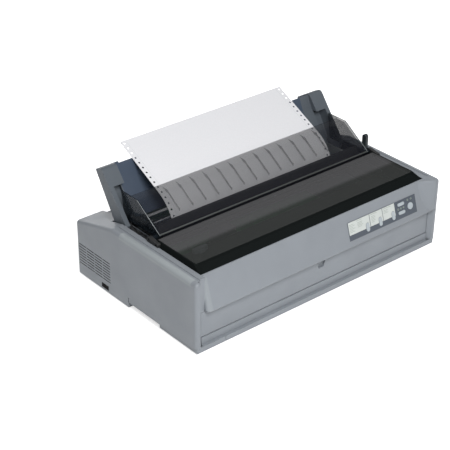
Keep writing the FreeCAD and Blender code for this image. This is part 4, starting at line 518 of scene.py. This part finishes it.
def set_blocks(tree, given, points, **turned):
    """Sets a block on each point, as real geometry."""
    block = add(tree, "GeometryNodeMeshCube", {"Size": given["Size"]})
    spread = add(tree, "GeometryNodeInstanceOnPoints", {
        "Points": points, "Instance": block.outputs["Mesh"], **turned})
    real = add(tree, "GeometryNodeRealizeInstances", {"Geometry": spread.outputs["Instances"]})
    return real.outputs["Geometry"]


def close_tree(tree, given, geometry):
    """Gives the geometry its finish and ends the tree with it."""
    painted = add(tree, "GeometryNodeSetMaterial", {"Geometry": geometry, "Material": given["Finish"]})
    add(tree, "NodeGroupOutput", {"Geometry": painted.outputs["Geometry"]})


def row_tree(name):
    """A tree that repeats one block along a line."""
    tree, given, keys = open_tree(name, (("Start", "Vector"), ("End", "Vector")))
    line = add(tree, "GeometryNodeMeshLine", {
        "Count": given["Count"], "Start Location": given["Start"], "Offset": given["End"]}, mode="END_POINTS")
    close_tree(tree, given, set_blocks(tree, given, line.outputs["Mesh"]))
    return tree, keys


def ring_tree(name):
    """A tree that repeats one block round a circle about an axis, facing the centre."""
    tree, given, keys = open_tree(name, (("Centre", "Vector"), ("Turn", "Vector"), ("Radius", "Float")))
    circle = add(tree, "GeometryNodeMeshCircle", {"Vertices": given["Count"], "Radius": given["Radius"]})
    place = add(tree, "GeometryNodeInputPosition")
    facing = add(tree, "FunctionNodeAlignEulerToVector", {"Vector": place.outputs[0]}, axis="X")
    blocks = set_blocks(tree, given, circle.outputs["Mesh"], Rotation=facing.outputs["Rotation"])
    moved = add(tree, "GeometryNodeTransform", {
        "Geometry": blocks, "Translation": given["Centre"], "Rotation": given["Turn"]})
    close_tree(tree, given, moved.outputs["Geometry"])
    return tree, keys


def grown(name, tree_and_keys, slot, body, **values):
    """Runs a Geometry Nodes tree once and keeps its result as a plain mesh."""
    tree, keys = tree_and_keys
    piece = bpy.data.objects.new(name, bpy.data.meshes.new(name))
    bpy.context.scene.collection.objects.link(piece)
    mod = piece.modifiers.new("Rows", "NODES")
    mod.node_group = tree
    for key, value in (*values.items(), ("Finish", FINISHES[slot])):
        mod[keys[key]] = value
    return settle(baked(piece), slot, body)


# Settings a user may change
class CaseLook(bpy.types.PropertyGroup):
    case_colour: bpy.props.StringProperty(
        name="Case colour", description="sRGB hex of the casing", default="#84898f")
    guide_colour: bpy.props.StringProperty(
        name="Guide colour", description="sRGB hex of the paper guide", default="#535a61")
    smoked_colour: bpy.props.StringProperty(
        name="Smoked cover", description="sRGB hex of the printer cover", default="#343736")
    tint_colour: bpy.props.StringProperty(
        name="Tinted cover", description="sRGB hex of the separator cover", default="#191b24")
    smoked_cover: bpy.props.FloatProperty(
        name="Smoked cover strength", description="How much the printer cover hides",
        default=0.5, min=0, max=1, subtype="FACTOR")
    tint_cover: bpy.props.FloatProperty(
        name="Tinted cover strength", description="How much the separator cover hides",
        default=0.26, min=0, max=1, subtype="FACTOR")
    tint_end_cover: bpy.props.FloatProperty(
        name="Tinted end strength", description="How much the separator cover's end walls hide",
        default=0.6, min=0, max=1, subtype="FACTOR")
    paper_colour: bpy.props.StringProperty(
        name="Paper colour", description="sRGB hex of the sheet", default="#e1e1e4")
    label_colour: bpy.props.StringProperty(
        name="Label colour", description="sRGB hex of the panel label", default="#474e58")
    key_colour: bpy.props.StringProperty(
        name="Key colour", description="sRGB hex of the keys", default="#a9b1b6")
    band_colour: bpy.props.StringProperty(
        name="Band colour", description="sRGB hex of the tension unit", default="#0d0f13")


class DetailLook(bpy.types.PropertyGroup):
    belt_tooth_pitch: bpy.props.FloatProperty(
        name="Belt tooth pitch", description="Spacing of the carriage belt's teeth",
        default=2.032 * MM, unit="LENGTH")
    chip_leg_pitch: bpy.props.FloatProperty(
        name="Chip leg pitch", description="Spacing of the chips' legs", default=2.54 * MM, unit="LENGTH")
    card_thickness: bpy.props.FloatProperty(
        name="Card thickness", description="How far the panel's cards stand up",
        default=0.15 * MM, unit="LENGTH")


class StageLook(bpy.types.PropertyGroup):
    floor_size: bpy.props.FloatProperty(
        name="Floor size", description="Side of the floor", default=14.0, unit="LENGTH")
    lamp_power: bpy.props.FloatProperty(
        name="Lamps", description="Share of their full strength that the lamps have", default=0.87, min=0)
    sky_power: bpy.props.FloatProperty(
        name="Sky", description="Strength of the even light", default=0.25, min=0)


class PRINTER_OT_finishes(bpy.types.Operator):
    """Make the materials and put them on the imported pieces"""

    bl_idname = "printer.finishes"
    bl_label = "Finishes"

    def execute(self, context):
        make_finishes(context.scene.case_look)
        own = {"tear_bar": "tear_strip", "power_switch": "switch_black", "power_rocker": "switch_black"}
        for entry in frame["record"]["subparts"]:
            node = NODES[entry["node"]]
            node.data.materials.clear()
            node.data.materials.append(FINISHES[own.get(entry["node"], entry["material_slot"])])
        self.blacken_hinges_paint_shade()
        return {"FINISHED"}

    def blacken_hinges_paint_shade(self):
        """Blackens the hinge blocks, and paints black shade on the gap's lips and the insides of the vent
        slots, where shadow falls.
        """
        case = NODES["upper_case"]
        case.data.materials.append(FINISHES["black_plastic"])
        centre = middle("upper_case").x
        for face in case.data.polygons:
            place, turn = face.center, face.normal
            off = abs(place.x - centre)
            in_gap = 276 * MM < off < 284.8 * MM and place.y > -158 * MM
            on_block = -42 * MM < place.y < -8 * MM and place.z > 143 * MM
            on_lip = 112 * MM < place.z < 149.5 * MM and abs(turn.x) > 0.9
            in_wall = 304 * MM < off < 309.9 * MM
            in_vent = in_wall and place.y > 60 * MM and place.z < 90 * MM and abs(turn.z) > 0.9
            # Painted shade: the lips and the vent insides are blackened where they lie in shadow
            if in_vent or (in_gap and (on_block or on_lip)):
                face.material_index = 1


class PRINTER_OT_panel_cards(bpy.types.Operator):
    """Lay the pale cards and their bare print lines on the control label"""

    bl_idname = "printer.panel_cards"
    bl_label = "Panel cards"

    def execute(self, context):
        thick = context.scene.detail_look.card_thickness
        low_v, top_v, arc_v, notch = 11.0, 36.1, 17.1, 4.6
        cards = bmesh.new()
        for left, right, key in ((0.6, 56.4, 49.5), (57.6, 91.4, 84.0), (92.6, 125.4, 119.5)):
            right = max(right, key + notch + 0.3)
            outline = [(left, low_v), (key - notch, low_v), (key - notch, arc_v)]
            outline += [(key + notch * math.cos(a), arc_v + notch * math.sin(a))
                        for a in (math.pi - math.pi * k / 12 for k in range(1, 12))]
            outline += [(key + notch, arc_v), (key + notch, low_v),
                        (right, low_v), (right, top_v), (left, top_v)]
            panel_plate(cards, outline, LABEL_THICK, thick)
        to_object(cards, "panel_cards", "card_white", "machine")
        bars = bmesh.new()
        for left, right, v in (
            (3.0, 14.0, 30.5), (3.0, 17.0, 27.6), (3.0, 13.0, 24.7),
            (3.0, 18.0, 21.8), (3.0, 12.0, 18.9), (3.0, 16.0, 16.0),
            (22.0, 37.0, 33.2), (24.0, 38.0, 29.0), (24.0, 36.0, 26.2),
            (24.0, 39.0, 23.4), (24.0, 35.0, 20.6),
            (60.0, 78.0, 33.2), (61.0, 71.0, 29.0), (61.0, 72.5, 26.2),
            (61.0, 70.0, 23.4), (61.0, 72.0, 20.6), (61.0, 69.0, 17.8),
            (95.0, 116.0, 33.2), (95.0, 107.0, 29.6), (95.0, 105.0, 27.0), (95.0, 108.0, 24.4),
        ):
            outline = [(left, v), (right, v), (right, v + 0.9), (left, v + 0.9)]
            panel_plate(bars, outline, LABEL_THICK + thick, 0.02 * MM)
        to_object(bars, "panel_print_lines", "print_grey", "machine")
        rings = bmesh.new()
        axis = PANEL.to_3x3() @ Vector((0, 0, 1))
        for u, v in ((134.5, 20.1), (142.0, 20.1), (149.5, 20.1), (162.5, 31.0), (172.0, 31.0)):
            centre = PANEL @ Vector((u * MM, v * MM, LABEL_THICK - 0.05 * MM))
            add_ring(rings, centre, axis, 1.9 * MM, 1.25 * MM, 0.2 * MM, 24)
        to_object(rings, "panel_lamp_rims", "print_grey", "machine")
        return {"FINISHED"}


class PRINTER_OT_belt_teeth(bpy.types.Operator):
    """Cut teeth for the carriage belt and ridges for the pin belts"""

    bl_idname = "printer.belt_teeth"
    bl_label = "Belt teeth"

    def execute(self, context):
        pitch = context.scene.detail_look.belt_tooth_pitch
        rows = row_tree("Row_of_blocks")
        lo, hi, belt = low("drive_belt"), high("drive_belt"), middle("drive_belt")
        inner, clear_of_pulley = 9.3 * MM, 18 * MM
        left, right = lo.x + clear_of_pulley, hi.x - clear_of_pulley
        for name, side in (("top", 1), ("bottom", -1)):
            z = belt.z + side * (inner - 0.25 * MM)
            grown("belt_teeth_" + name, rows, "belt_rubber", "machine", Start=(left, belt.y, z),
                  End=(right, belt.y, z), Count=int((right - left) / pitch),
                  Size=(pitch * 0.5, (hi.y - lo.y) * 0.96, 0.6 * MM))
        rings = ring_tree("Ring_of_blocks")
        for node, body in (("drive_pulley", "belt_pulley_left"), ("idler_pulley", "belt_pulley_right")):
            centre = middle(node)
            grown(node + "_teeth", rings, "gear_dark", body,
                  Centre=(centre.x, belt.y, centre.z), Turn=(math.pi / 2, 0, 0),
                  Radius=8.9 * MM, Count=26, Size=(0.5 * MM, 1.0 * MM, 7.4 * MM))
        for side in ("left", "right"):
            node = "pin_belt_" + side
            lo, hi, x = low(node), high(node), middle(node).x
            z = lo.z + 0.05 * MM
            grown(node + "_ridges", rows, "belt_rubber", "tractor_unit_" + side,
                  Start=(x, lo.y + 10 * MM, z), End=(x, hi.y - 10 * MM, z),
                  Count=10, Size=(7.6 * MM, 1.2 * MM, 0.5 * MM))
        return {"FINISHED"}


class PRINTER_OT_board_parts(bpy.types.Operator):
    """Set chip legs, capacitors and plugs on the main board"""

    bl_idname = "printer.board_parts"
    bl_label = "Board parts"

    def execute(self, context):
        pitch = context.scene.detail_look.chip_leg_pitch
        rows = row_tree("Row_of_legs")
        lo, hi = low("main_board"), high("main_board")
        top = lo.z + 1.6 * MM
        spacing = (hi.x - lo.x) / 5
        half, leg_z = 18 * MM, top + 2.5 * MM
        for column in range(4):
            for row in range(2):
                x = lo.x + spacing * (column + 1)
                y = hi.y - 30 * MM - row * 42 * MM
                for side, edge in (("front", y - 16.6 * MM), ("rear", y + 0.6 * MM)):
                    grown("chip_%d_%d_legs_%s" % (column, row, side), rows, "solder", "machine",
                          Start=(x - half, edge, leg_z), End=(x + half, edge, leg_z),
                          Count=int(2 * half / pitch), Size=(0.6 * MM, 1.2 * MM, 5 * MM))
        cans = bmesh.new()
        sunk, shoulder = top - 0.2 * MM, top + 22 * MM
        for k in range(5):
            x, y = lo.x + 30 * MM + k * 24 * MM, lo.y + 20 * MM
            add_rod(cans, 7 * MM, (x, y, sunk), (x, y, shoulder), 28)
            add_rod(cans, 6.4 * MM, (x, y, shoulder), (x, y, shoulder + 0.5 * MM), 28, 5.6 * MM)
        bevelled(to_object(cans, "board_capacitors", "navy_plastic", "machine", True), 0.5 * MM)
        plugs = bmesh.new()
        for k in range(4):
            x = hi.x - 40 * MM - k * 42 * MM
            add_box(plugs, (x - 15 * MM, lo.y + 14 * MM, sunk), (x + 15 * MM, lo.y + 20 * MM, top + 9 * MM))
        bevelled(to_object(plugs, "board_plugs", "card_white", "machine"), 0.4 * MM)
        return {"FINISHED"}


class PRINTER_OT_motor_details(bpy.types.Operator):
    """Add end plates and screws to both motors"""

    bl_idname = "printer.motor_details"
    bl_label = "Motor details"

    def execute(self, context):
        plates = bmesh.new()
        screws = bmesh.new()
        for node, axis in (("feed_motor", 0), ("carriage_motor", 1)):
            side = 1 - axis
            radius = (high(node)[side] - low(node)[side]) / 2
            along = Vector((0, 0, 0))
            along[axis] = 1
            face = middle(node)
            face[axis] = high(node)[axis]
            add_ring(plates, face, along, radius * 0.9, radius * 0.35, 0.8 * MM)
            add_rod(plates, radius * 0.28, face, face + along * 1.6 * MM)
            for k in range(4):
                a = math.pi / 4 + k * math.pi / 2
                place = face.copy()
                place[side] += radius * 0.7 * math.cos(a)
                place.z += radius * 0.7 * math.sin(a)
                add_rod(screws, 1.7 * MM, place, place + along * 1.8 * MM, 16, 1.4 * MM)
        to_object(plates, "motor_end_plates", "zinc_sheet", "machine")
        to_object(screws, "motor_screws", "screw_steel", "machine")
        return {"FINISHED"}


class PRINTER_OT_screw_heads(bpy.types.Operator):
    """Make the case screws with cross recesses in place of the plain ones"""

    bl_idname = "printer.screw_heads"
    bl_label = "Screw heads"

    def execute(self, context):
        lo, hi = low("case_screws"), high("case_screws")
        head, near, far, outer = 3.6 * MM, 0.45 * MM, 1.65 * MM, 1.3 * MM
        bm = bmesh.new()
        for x, y in [(x, y) for x in (lo.x + head, hi.x - head) for y in (lo.y + head, hi.y - head)]:
            add_ring(bm, (x, y, lo.z), (0, 0, 1), head, 1.6 * MM, 2.4 * MM, 32)
            add_rod(bm, 1.62 * MM, (x, y, lo.z + 1.5 * MM), (x, y, lo.z + 2.39 * MM), 20)
            add_rod(bm, 1.75 * MM, (x, y, lo.z + 2.3 * MM), (x, y, hi.z), 20)
            for turn in (0, math.pi / 2):
                for side in (-1, 1):
                    c = Vector((math.cos(turn), math.sin(turn), 0)) * side
                    n = Vector((-c.y, c.x, 0))
                    corners = [Vector((x, y, lo.z + 0.25 * MM)) + c * a + n * b
                               for a, b in ((near, near), (far, near), (far, outer), (near, outer))]
                    add_drawn(bm, corners, (0, 0, 1.6 * MM))
        piece = to_object(bm, "case_screws_cross_recessed", "screw_steel", "machine")
        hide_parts("case_screws")
        return {"FINISHED"}


class PRINTER_OT_foot_rings(bpy.types.Operator):
    """Add the moulded rings on the undersides of the rubber feet"""

    bl_idname = "printer.foot_rings"
    bl_label = "Foot rings"

    def execute(self, context):
        lo, hi = low("feet"), high("feet")
        radius = 9 * MM
        bm = bmesh.new()
        for x in (lo.x + radius, hi.x - radius):
            for y in (lo.y + radius, hi.y - radius):
                add_ring(bm, (x, y, lo.z), (0, 0, 1), radius, radius - 2.2 * MM, hi.z - lo.z, 48)
                add_rod(bm, radius - 2.1 * MM, (x, y, lo.z + 1.0 * MM), (x, y, hi.z), 48)
        piece = bevelled(to_object(bm, "feet_ringed", "foot_rubber", "machine", True), 0.4 * MM)
        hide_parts("feet")
        return {"FINISHED"}


class PRINTER_OT_gear_faces(bpy.types.Operator):
    """Add hubs and web rings to the feed gears"""

    bl_idname = "printer.gear_faces"
    bl_label = "Gear faces"

    def execute(self, context):
        for node, body, teeth in (
            ("platen_gear", "platen", 40),
            ("feed_idler_gear", "idler", 64),
            ("tractor_gear", "tractor_drive", 40),
        ):
            centre = middle(node)
            centre.x = low(node).x
            root = (teeth / 2 - 1.25) * MM
            inner, rim = 7.8 * MM, root - 2.4 * MM
            bm = bmesh.new()
            add_ring(bm, centre, (-1, 0, 0), root - 0.4 * MM, root - 2.6 * MM, 0.7 * MM)
            add_ring(bm, centre, (-1, 0, 0), 8.0 * MM, 4.1 * MM, 1.4 * MM)
            for k in range(6):
                a = 2 * math.pi * k / 6
                c = Vector((0, math.cos(a), math.sin(a)))
                n = Vector((0, -c.z, c.y)) * 0.8 * MM
                spoke = [centre + c * reach + n * side
                         for reach, side in ((inner, 1), (rim, 1), (rim, -1), (inner, -1))]
                add_drawn(bm, spoke, (-0.6 * MM, 0, 0))
            to_object(bm, node + "_web", "gear_dark", body)
        return {"FINISHED"}


class PRINTER_OT_head_details(bpy.types.Operator):
    """Add the print head's needle guide, its needle tips and its clamp screws"""

    bl_idname = "printer.head_details"
    bl_label = "Head details"

    def execute(self, context):
        lo, hi = low("print_head"), high("print_head")
        centre = (lo.x + hi.x) / 2
        face = bmesh.new()
        add_box(face, (centre - 7 * MM, hi.y - 0.05 * MM, lo.z + 14.5 * MM),
                (centre + 7 * MM, hi.y + 0.25 * MM, lo.z + 24.5 * MM))
        bevelled(to_object(face, "needle_guide", "zinc_sheet", "head_carriage"), 0.08 * MM)
        tips = bmesh.new()
        for k in range(12):
            z = lo.z + 15.6 * MM + k * 0.7 * MM
            for x in (centre - 0.7 * MM, centre + 0.7 * MM):
                add_rod(tips, 0.22 * MM, (x, hi.y + 0.2 * MM, z), (x, hi.y + 0.32 * MM, z), 10)
        to_object(tips, "needle_tips", "chip_black", "head_carriage")
        screws = bmesh.new()
        for x in (centre - 22.5 * MM, centre + 22.5 * MM):
            for y in (lo.y + 6 * MM, lo.y + 30 * MM):
                add_rod(screws, 2.2 * MM, (x, y, lo.z - 0.05 * MM), (x, y, lo.z + 1.6 * MM), 20, 1.9 * MM)
        to_object(screws, "head_clamp_screws", "screw_steel", "head_carriage")
        return {"FINISHED"}


class PRINTER_OT_cartridge_details(bpy.types.Operator):
    """Add the cartridge's lid seam and grip ridges"""

    bl_idname = "printer.cartridge_details"
    bl_label = "Cartridge details"

    def execute(self, context):
        lo, hi = low("ribbon_cartridge"), high("ribbon_cartridge")
        half, z = 250 * MM, 119 * MM
        left, right = middle("ribbon").x - half, middle("ribbon").x + half
        seam = bmesh.new()
        add_box(seam, (left + 3 * MM, lo.y - 0.25 * MM, z - 0.4 * MM),
                (right - 3 * MM, lo.y + 0.1 * MM, z + 0.4 * MM))
        to_object(seam, "cartridge_seam", "black_plastic", "machine")
        y, top = lo.y + 20 * MM, hi.z - 0.1 * MM
        grown("cartridge_ridges", row_tree("Row_of_ridges"), "black_plastic", "machine",
              Start=(left + 60 * MM, y, top), End=(right - 60 * MM, y, top), Count=60,
              Size=(2.2 * MM, 12 * MM, 0.9 * MM))
        return {"FINISHED"}


class PRINTER_OT_bezel_ends(bpy.types.Operator):
    """Fill the left end of the sloping front panel and run its right end into the column"""

    bl_idname = "printer.bezel_ends"
    bl_label = "Bezel ends"

    def execute(self, context):
        centre = middle("upper_case").x
        front, foot, top = low("upper_case").y + 12.5 * MM, 112.5 * MM, 148.5 * MM
        back = front + (top - foot) / BEZEL_SLOPE
        inner, outer = centre - 292.5 * MM, centre - 281.02 * MM
        bm = bmesh.new()
        wedge = [(inner, y, z) for y, z in ((front, top), (back, top), (front, foot))]
        add_drawn(bm, wedge, (outer - inner, 0, 0))
        bevelled(to_object(bm, "bezel_end_left", "case_grey", "machine"), 0.15 * MM, 1)
        self.blend_right(centre)
        return {"FINISHED"}

    def blend_right(self, centre):
        """Right end, where the panel's slope runs into the column in one smooth surface."""
        front = low("upper_case").y
        left, right = centre + 256 * MM, centre + 303 * MM
        foot, top = 81.6 * MM, 149.9 * MM
        steps, rises = 24, 12
        proud, sunk = 0.25 * MM, 1.2 * MM
        bm = bmesh.new()
        skin, back = {}, {}
        for row in range(rises + 1):
            z = foot + (top - foot) * row / rises
            slope_y = front + (z - 81 * MM) / BEZEL_SLOPE
            for step in range(steps + 1):
                u = step / steps
                y = slope_y + (front + 1.9 * MM - slope_y) * u * u * (3 - 2 * u)
                y = min(y, slope_y) + proud * (1 - 4 * min(u, 0.25))
                x = left + (right - left) * u
                skin[row, step] = bm.verts.new((x, y, z))
                back[row, step] = bm.verts.new((x, slope_y + sunk, z))
        for row in range(rises):
            for step in range(steps):
                cell = ((row, step), (row, step + 1), (row + 1, step + 1), (row + 1, step))
                bm.faces.new([skin[corner] for corner in cell])
                bm.faces.new([back[corner] for corner in reversed(cell)])
        rim = [(0, step) for step in range(steps)] + [(row, steps) for row in range(rises)]
        rim += [(rises, step) for step in range(steps, 0, -1)] + [(row, 0) for row in range(rises, 0, -1)]
        for a, b in zip(rim, rim[1:] + rim[:1]):
            bm.faces.new((skin[b], skin[a], back[a], back[b]))
        piece = to_object(bm, "bezel_end_right", "case_grey", "machine", True)
        for face in piece.data.polygons:
            face.use_smooth = face.normal.y < -0.5


class PRINTER_OT_cover_details(bpy.types.Operator):
    """Add the release lever's grip ridges and pale glossy beads on the separator cover's edges, whose pale
    grey is partly a painted highlight
    """

    bl_idname = "printer.cover_details"
    bl_label = "Cover details"

    def execute(self, context):
        lever = high("paper_release_lever")
        x, y = lever.x - 3.5 * MM, 2.4 * MM
        grown("release_lever_ridges", row_tree("Row_of_grips"), "lever_grey", "release_arm",
              Start=(x, y, lever.z - 20 * MM), End=(x, y, lever.z - 7 * MM),
              Count=6, Size=(5.6 * MM, 0.8 * MM, 1.1 * MM))
        # Pale beads along the separator cover's end edges: their pale grey is partly a painted highlight, the
        # rest real gloss
        reach = half_width("tear_bar") - 0.3 * MM
        fore, rear = (-24 * MM, 160.7 * MM), (44 * MM, 205.6 * MM)
        for side, name in ((-1, "left"), (1, "right")):
            x = middle("tear_bar").x + side * reach
            bead = bmesh.new()
            add_rod(bead, 0.55 * MM, (x, *fore), (x, *rear), 8)
            to_object(bead, "separator_edge_" + name, "polished_edge", "hood", True)
        return {"FINISHED"}


def stage_material(name, code, camera_glow):
    """Matt paper of the studio floor, brightened for the camera and for reflections only."""
    mat = bpy.data.materials.new(name)
    mat.use_nodes = True
    tree = mat.node_tree
    tree.nodes.clear()
    diffuse = add(tree, "ShaderNodeBsdfDiffuse", {"Color": linear(code)})
    glow = add(tree, "ShaderNodeEmission", {"Color": (1, 1, 1, 1), "Strength": camera_glow})
    both = add(tree, "ShaderNodeAddShader", {0: diffuse.outputs[0], 1: glow.outputs[0]})
    path = add(tree, "ShaderNodeLightPath")
    seen = path.outputs["Is Camera Ray"]
    for ray in ("Is Glossy Ray", "Is Transmission Ray"):
        seen = add(tree, "ShaderNodeMath", {0: seen, 1: path.outputs[ray]}, operation="MAXIMUM").outputs[0]
    mixed = add(tree, "ShaderNodeMixShader", {0: seen, 1: diffuse.outputs[0], 2: both.outputs[0]})
    add(tree, "ShaderNodeOutputMaterial", {"Surface": mixed.outputs[0]})
    return mat


class PRINTER_OT_stage(bpy.types.Operator):
    """Set the floor, the soft light and the camera"""

    bl_idname = "printer.stage"
    bl_label = "Stage"

    def execute(self, context):
        look = context.scene.stage_look
        half = look.floor_size / 2
        bm = bmesh.new()
        corners = ((-half, -half), (half, -half), (half, half), (-half, half))
        bm.faces.new([bm.verts.new((x, y, 0)) for x, y in corners])
        mesh = bpy.data.meshes.new("floor")
        bm.to_mesh(mesh)
        bm.free()
        floor = bpy.data.objects.new("floor", mesh)
        context.scene.collection.objects.link(floor)
        camera_glow, aimed_at = 0.68, Vector((0, 0, 80 * MM))
        mesh.materials.append(stage_material("Studio_paper_white", "#f2f2f2", camera_glow))
        for name, place, size, watts in (
            ("key_lamp", (-0.7, -1.5, 1.7), 0.9, 51),
            ("right_lamp", (2.6, 0.5, 0.8), 1.4, 24),
            ("back_lamp", (0.4, 2.6, 0.9), 1.4, 24),
            ("top_lamp", (0.0, 0.7, 3.0), 2.2, 6),
        ):
            lamp = bpy.data.lights.new(name, "AREA")
            lamp.shape = "SQUARE"
            lamp.size = size
            lamp.energy = watts * look.lamp_power
            holder = bpy.data.objects.new(name, lamp)
            holder.location = place
            aim = aimed_at - Vector(place)
            holder.rotation_euler = aim.to_track_quat("-Z", "Y").to_euler()
            context.scene.collection.objects.link(holder)
        world = bpy.data.worlds.new("Studio")
        world.use_nodes = True
        tree = world.node_tree
        tree.nodes.clear()
        even = add(tree, "ShaderNodeBackground", {"Color": (1, 1, 1, 1), "Strength": look.sky_power})
        white = add(tree, "ShaderNodeBackground", {"Color": (1, 1, 1, 1), "Strength": 1.0})
        path = add(tree, "ShaderNodeLightPath")
        mixed = add(tree, "ShaderNodeMixShader", {
            0: path.outputs["Is Camera Ray"], 1: even.outputs[0], 2: white.outputs[0]})
        add(tree, "ShaderNodeOutputWorld", {"Surface": mixed.outputs[0]})
        context.scene.world = world
        context.scene.view_settings.view_transform = "Standard"
        self.place_camera(context)
        return {"FINISHED"}

    def place_camera(self, context):
        """Puts the camera where it shows the object as the photo does."""
        azimuth, elevation, roll = (math.radians(a) for a in (-40.28, 30.0, 0.48))
        target, reach = Vector((-63.94, 43.77, 76.32)) * MM, 2618.17 * MM
        away = Vector((math.sin(azimuth) * math.cos(elevation),
                       -math.cos(azimuth) * math.cos(elevation), math.sin(elevation)))
        right = Vector((math.cos(azimuth), math.sin(azimuth), 0))
        up = away.cross(right)
        turned_right = right * math.cos(roll) + up * math.sin(roll)
        turned_up = up * math.cos(roll) - right * math.sin(roll)
        basis = Matrix((turned_right, turned_up, away)).transposed().to_4x4()
        camera = bpy.data.cameras.new("photo_camera")
        camera.lens = 106.92
        camera.sensor_width = 36.0
        camera.clip_end = 50.0
        holder = bpy.data.objects.new("photo_camera", camera)
        holder.matrix_world = Matrix.Translation(target + away * reach) @ basis
        context.scene.collection.objects.link(holder)
        context.scene.camera = holder


class PRINTER_PT_panel(bpy.types.Panel):
    """Lists the printer's settings and the buttons of its steps"""

    bl_idname = "PRINTER_PT_panel"
    bl_label = "Printer"
    bl_space_type = "VIEW_3D"
    bl_region_type = "UI"
    bl_category = "Printer"

    def draw(self, context):
        layout = self.layout
        for group in (context.scene.case_look, context.scene.detail_look, context.scene.stage_look):
            for name in group.__annotations__:
                layout.prop(group, name)
        for operator in OPERATORS:
            layout.operator(operator.bl_idname)


OPERATORS = (
    PRINTER_OT_finishes,
    PRINTER_OT_panel_cards,
    PRINTER_OT_belt_teeth,
    PRINTER_OT_board_parts,
    PRINTER_OT_motor_details,
    PRINTER_OT_screw_heads,
    PRINTER_OT_foot_rings,
    PRINTER_OT_gear_faces,
    PRINTER_OT_head_details,
    PRINTER_OT_cartridge_details,
    PRINTER_OT_bezel_ends,
    PRINTER_OT_cover_details,
    PRINTER_OT_stage,
)
GROUPS = (("case_look", CaseLook), ("detail_look", DetailLook), ("stage_look", StageLook))


def register():
    for name, group in GROUPS:
        bpy.utils.register_class(group)
        setattr(bpy.types.Scene, name, bpy.props.PointerProperty(type=group))
    for operator in OPERATORS:
        bpy.utils.register_class(operator)
    bpy.utils.register_class(PRINTER_PT_panel)


def unregister():
    bpy.utils.unregister_class(PRINTER_PT_panel)
    for operator in reversed(OPERATORS):
        bpy.utils.unregister_class(operator)
    for name, group in reversed(GROUPS):
        delattr(bpy.types.Scene, name)
        bpy.utils.unregister_class(group)


def main():
    register()
    bpy.ops.printer.finishes()
    bpy.ops.printer.panel_cards()
    bpy.ops.printer.belt_teeth()
    bpy.ops.printer.board_parts()
    bpy.ops.printer.motor_details()
    bpy.ops.printer.screw_heads()
    bpy.ops.printer.foot_rings()
    bpy.ops.printer.gear_faces()
    bpy.ops.printer.head_details()
    bpy.ops.printer.cartridge_details()
    bpy.ops.printer.bezel_ends()
    bpy.ops.printer.cover_details()
    bpy.ops.printer.stage()


if __name__ == "__main__":
    main()
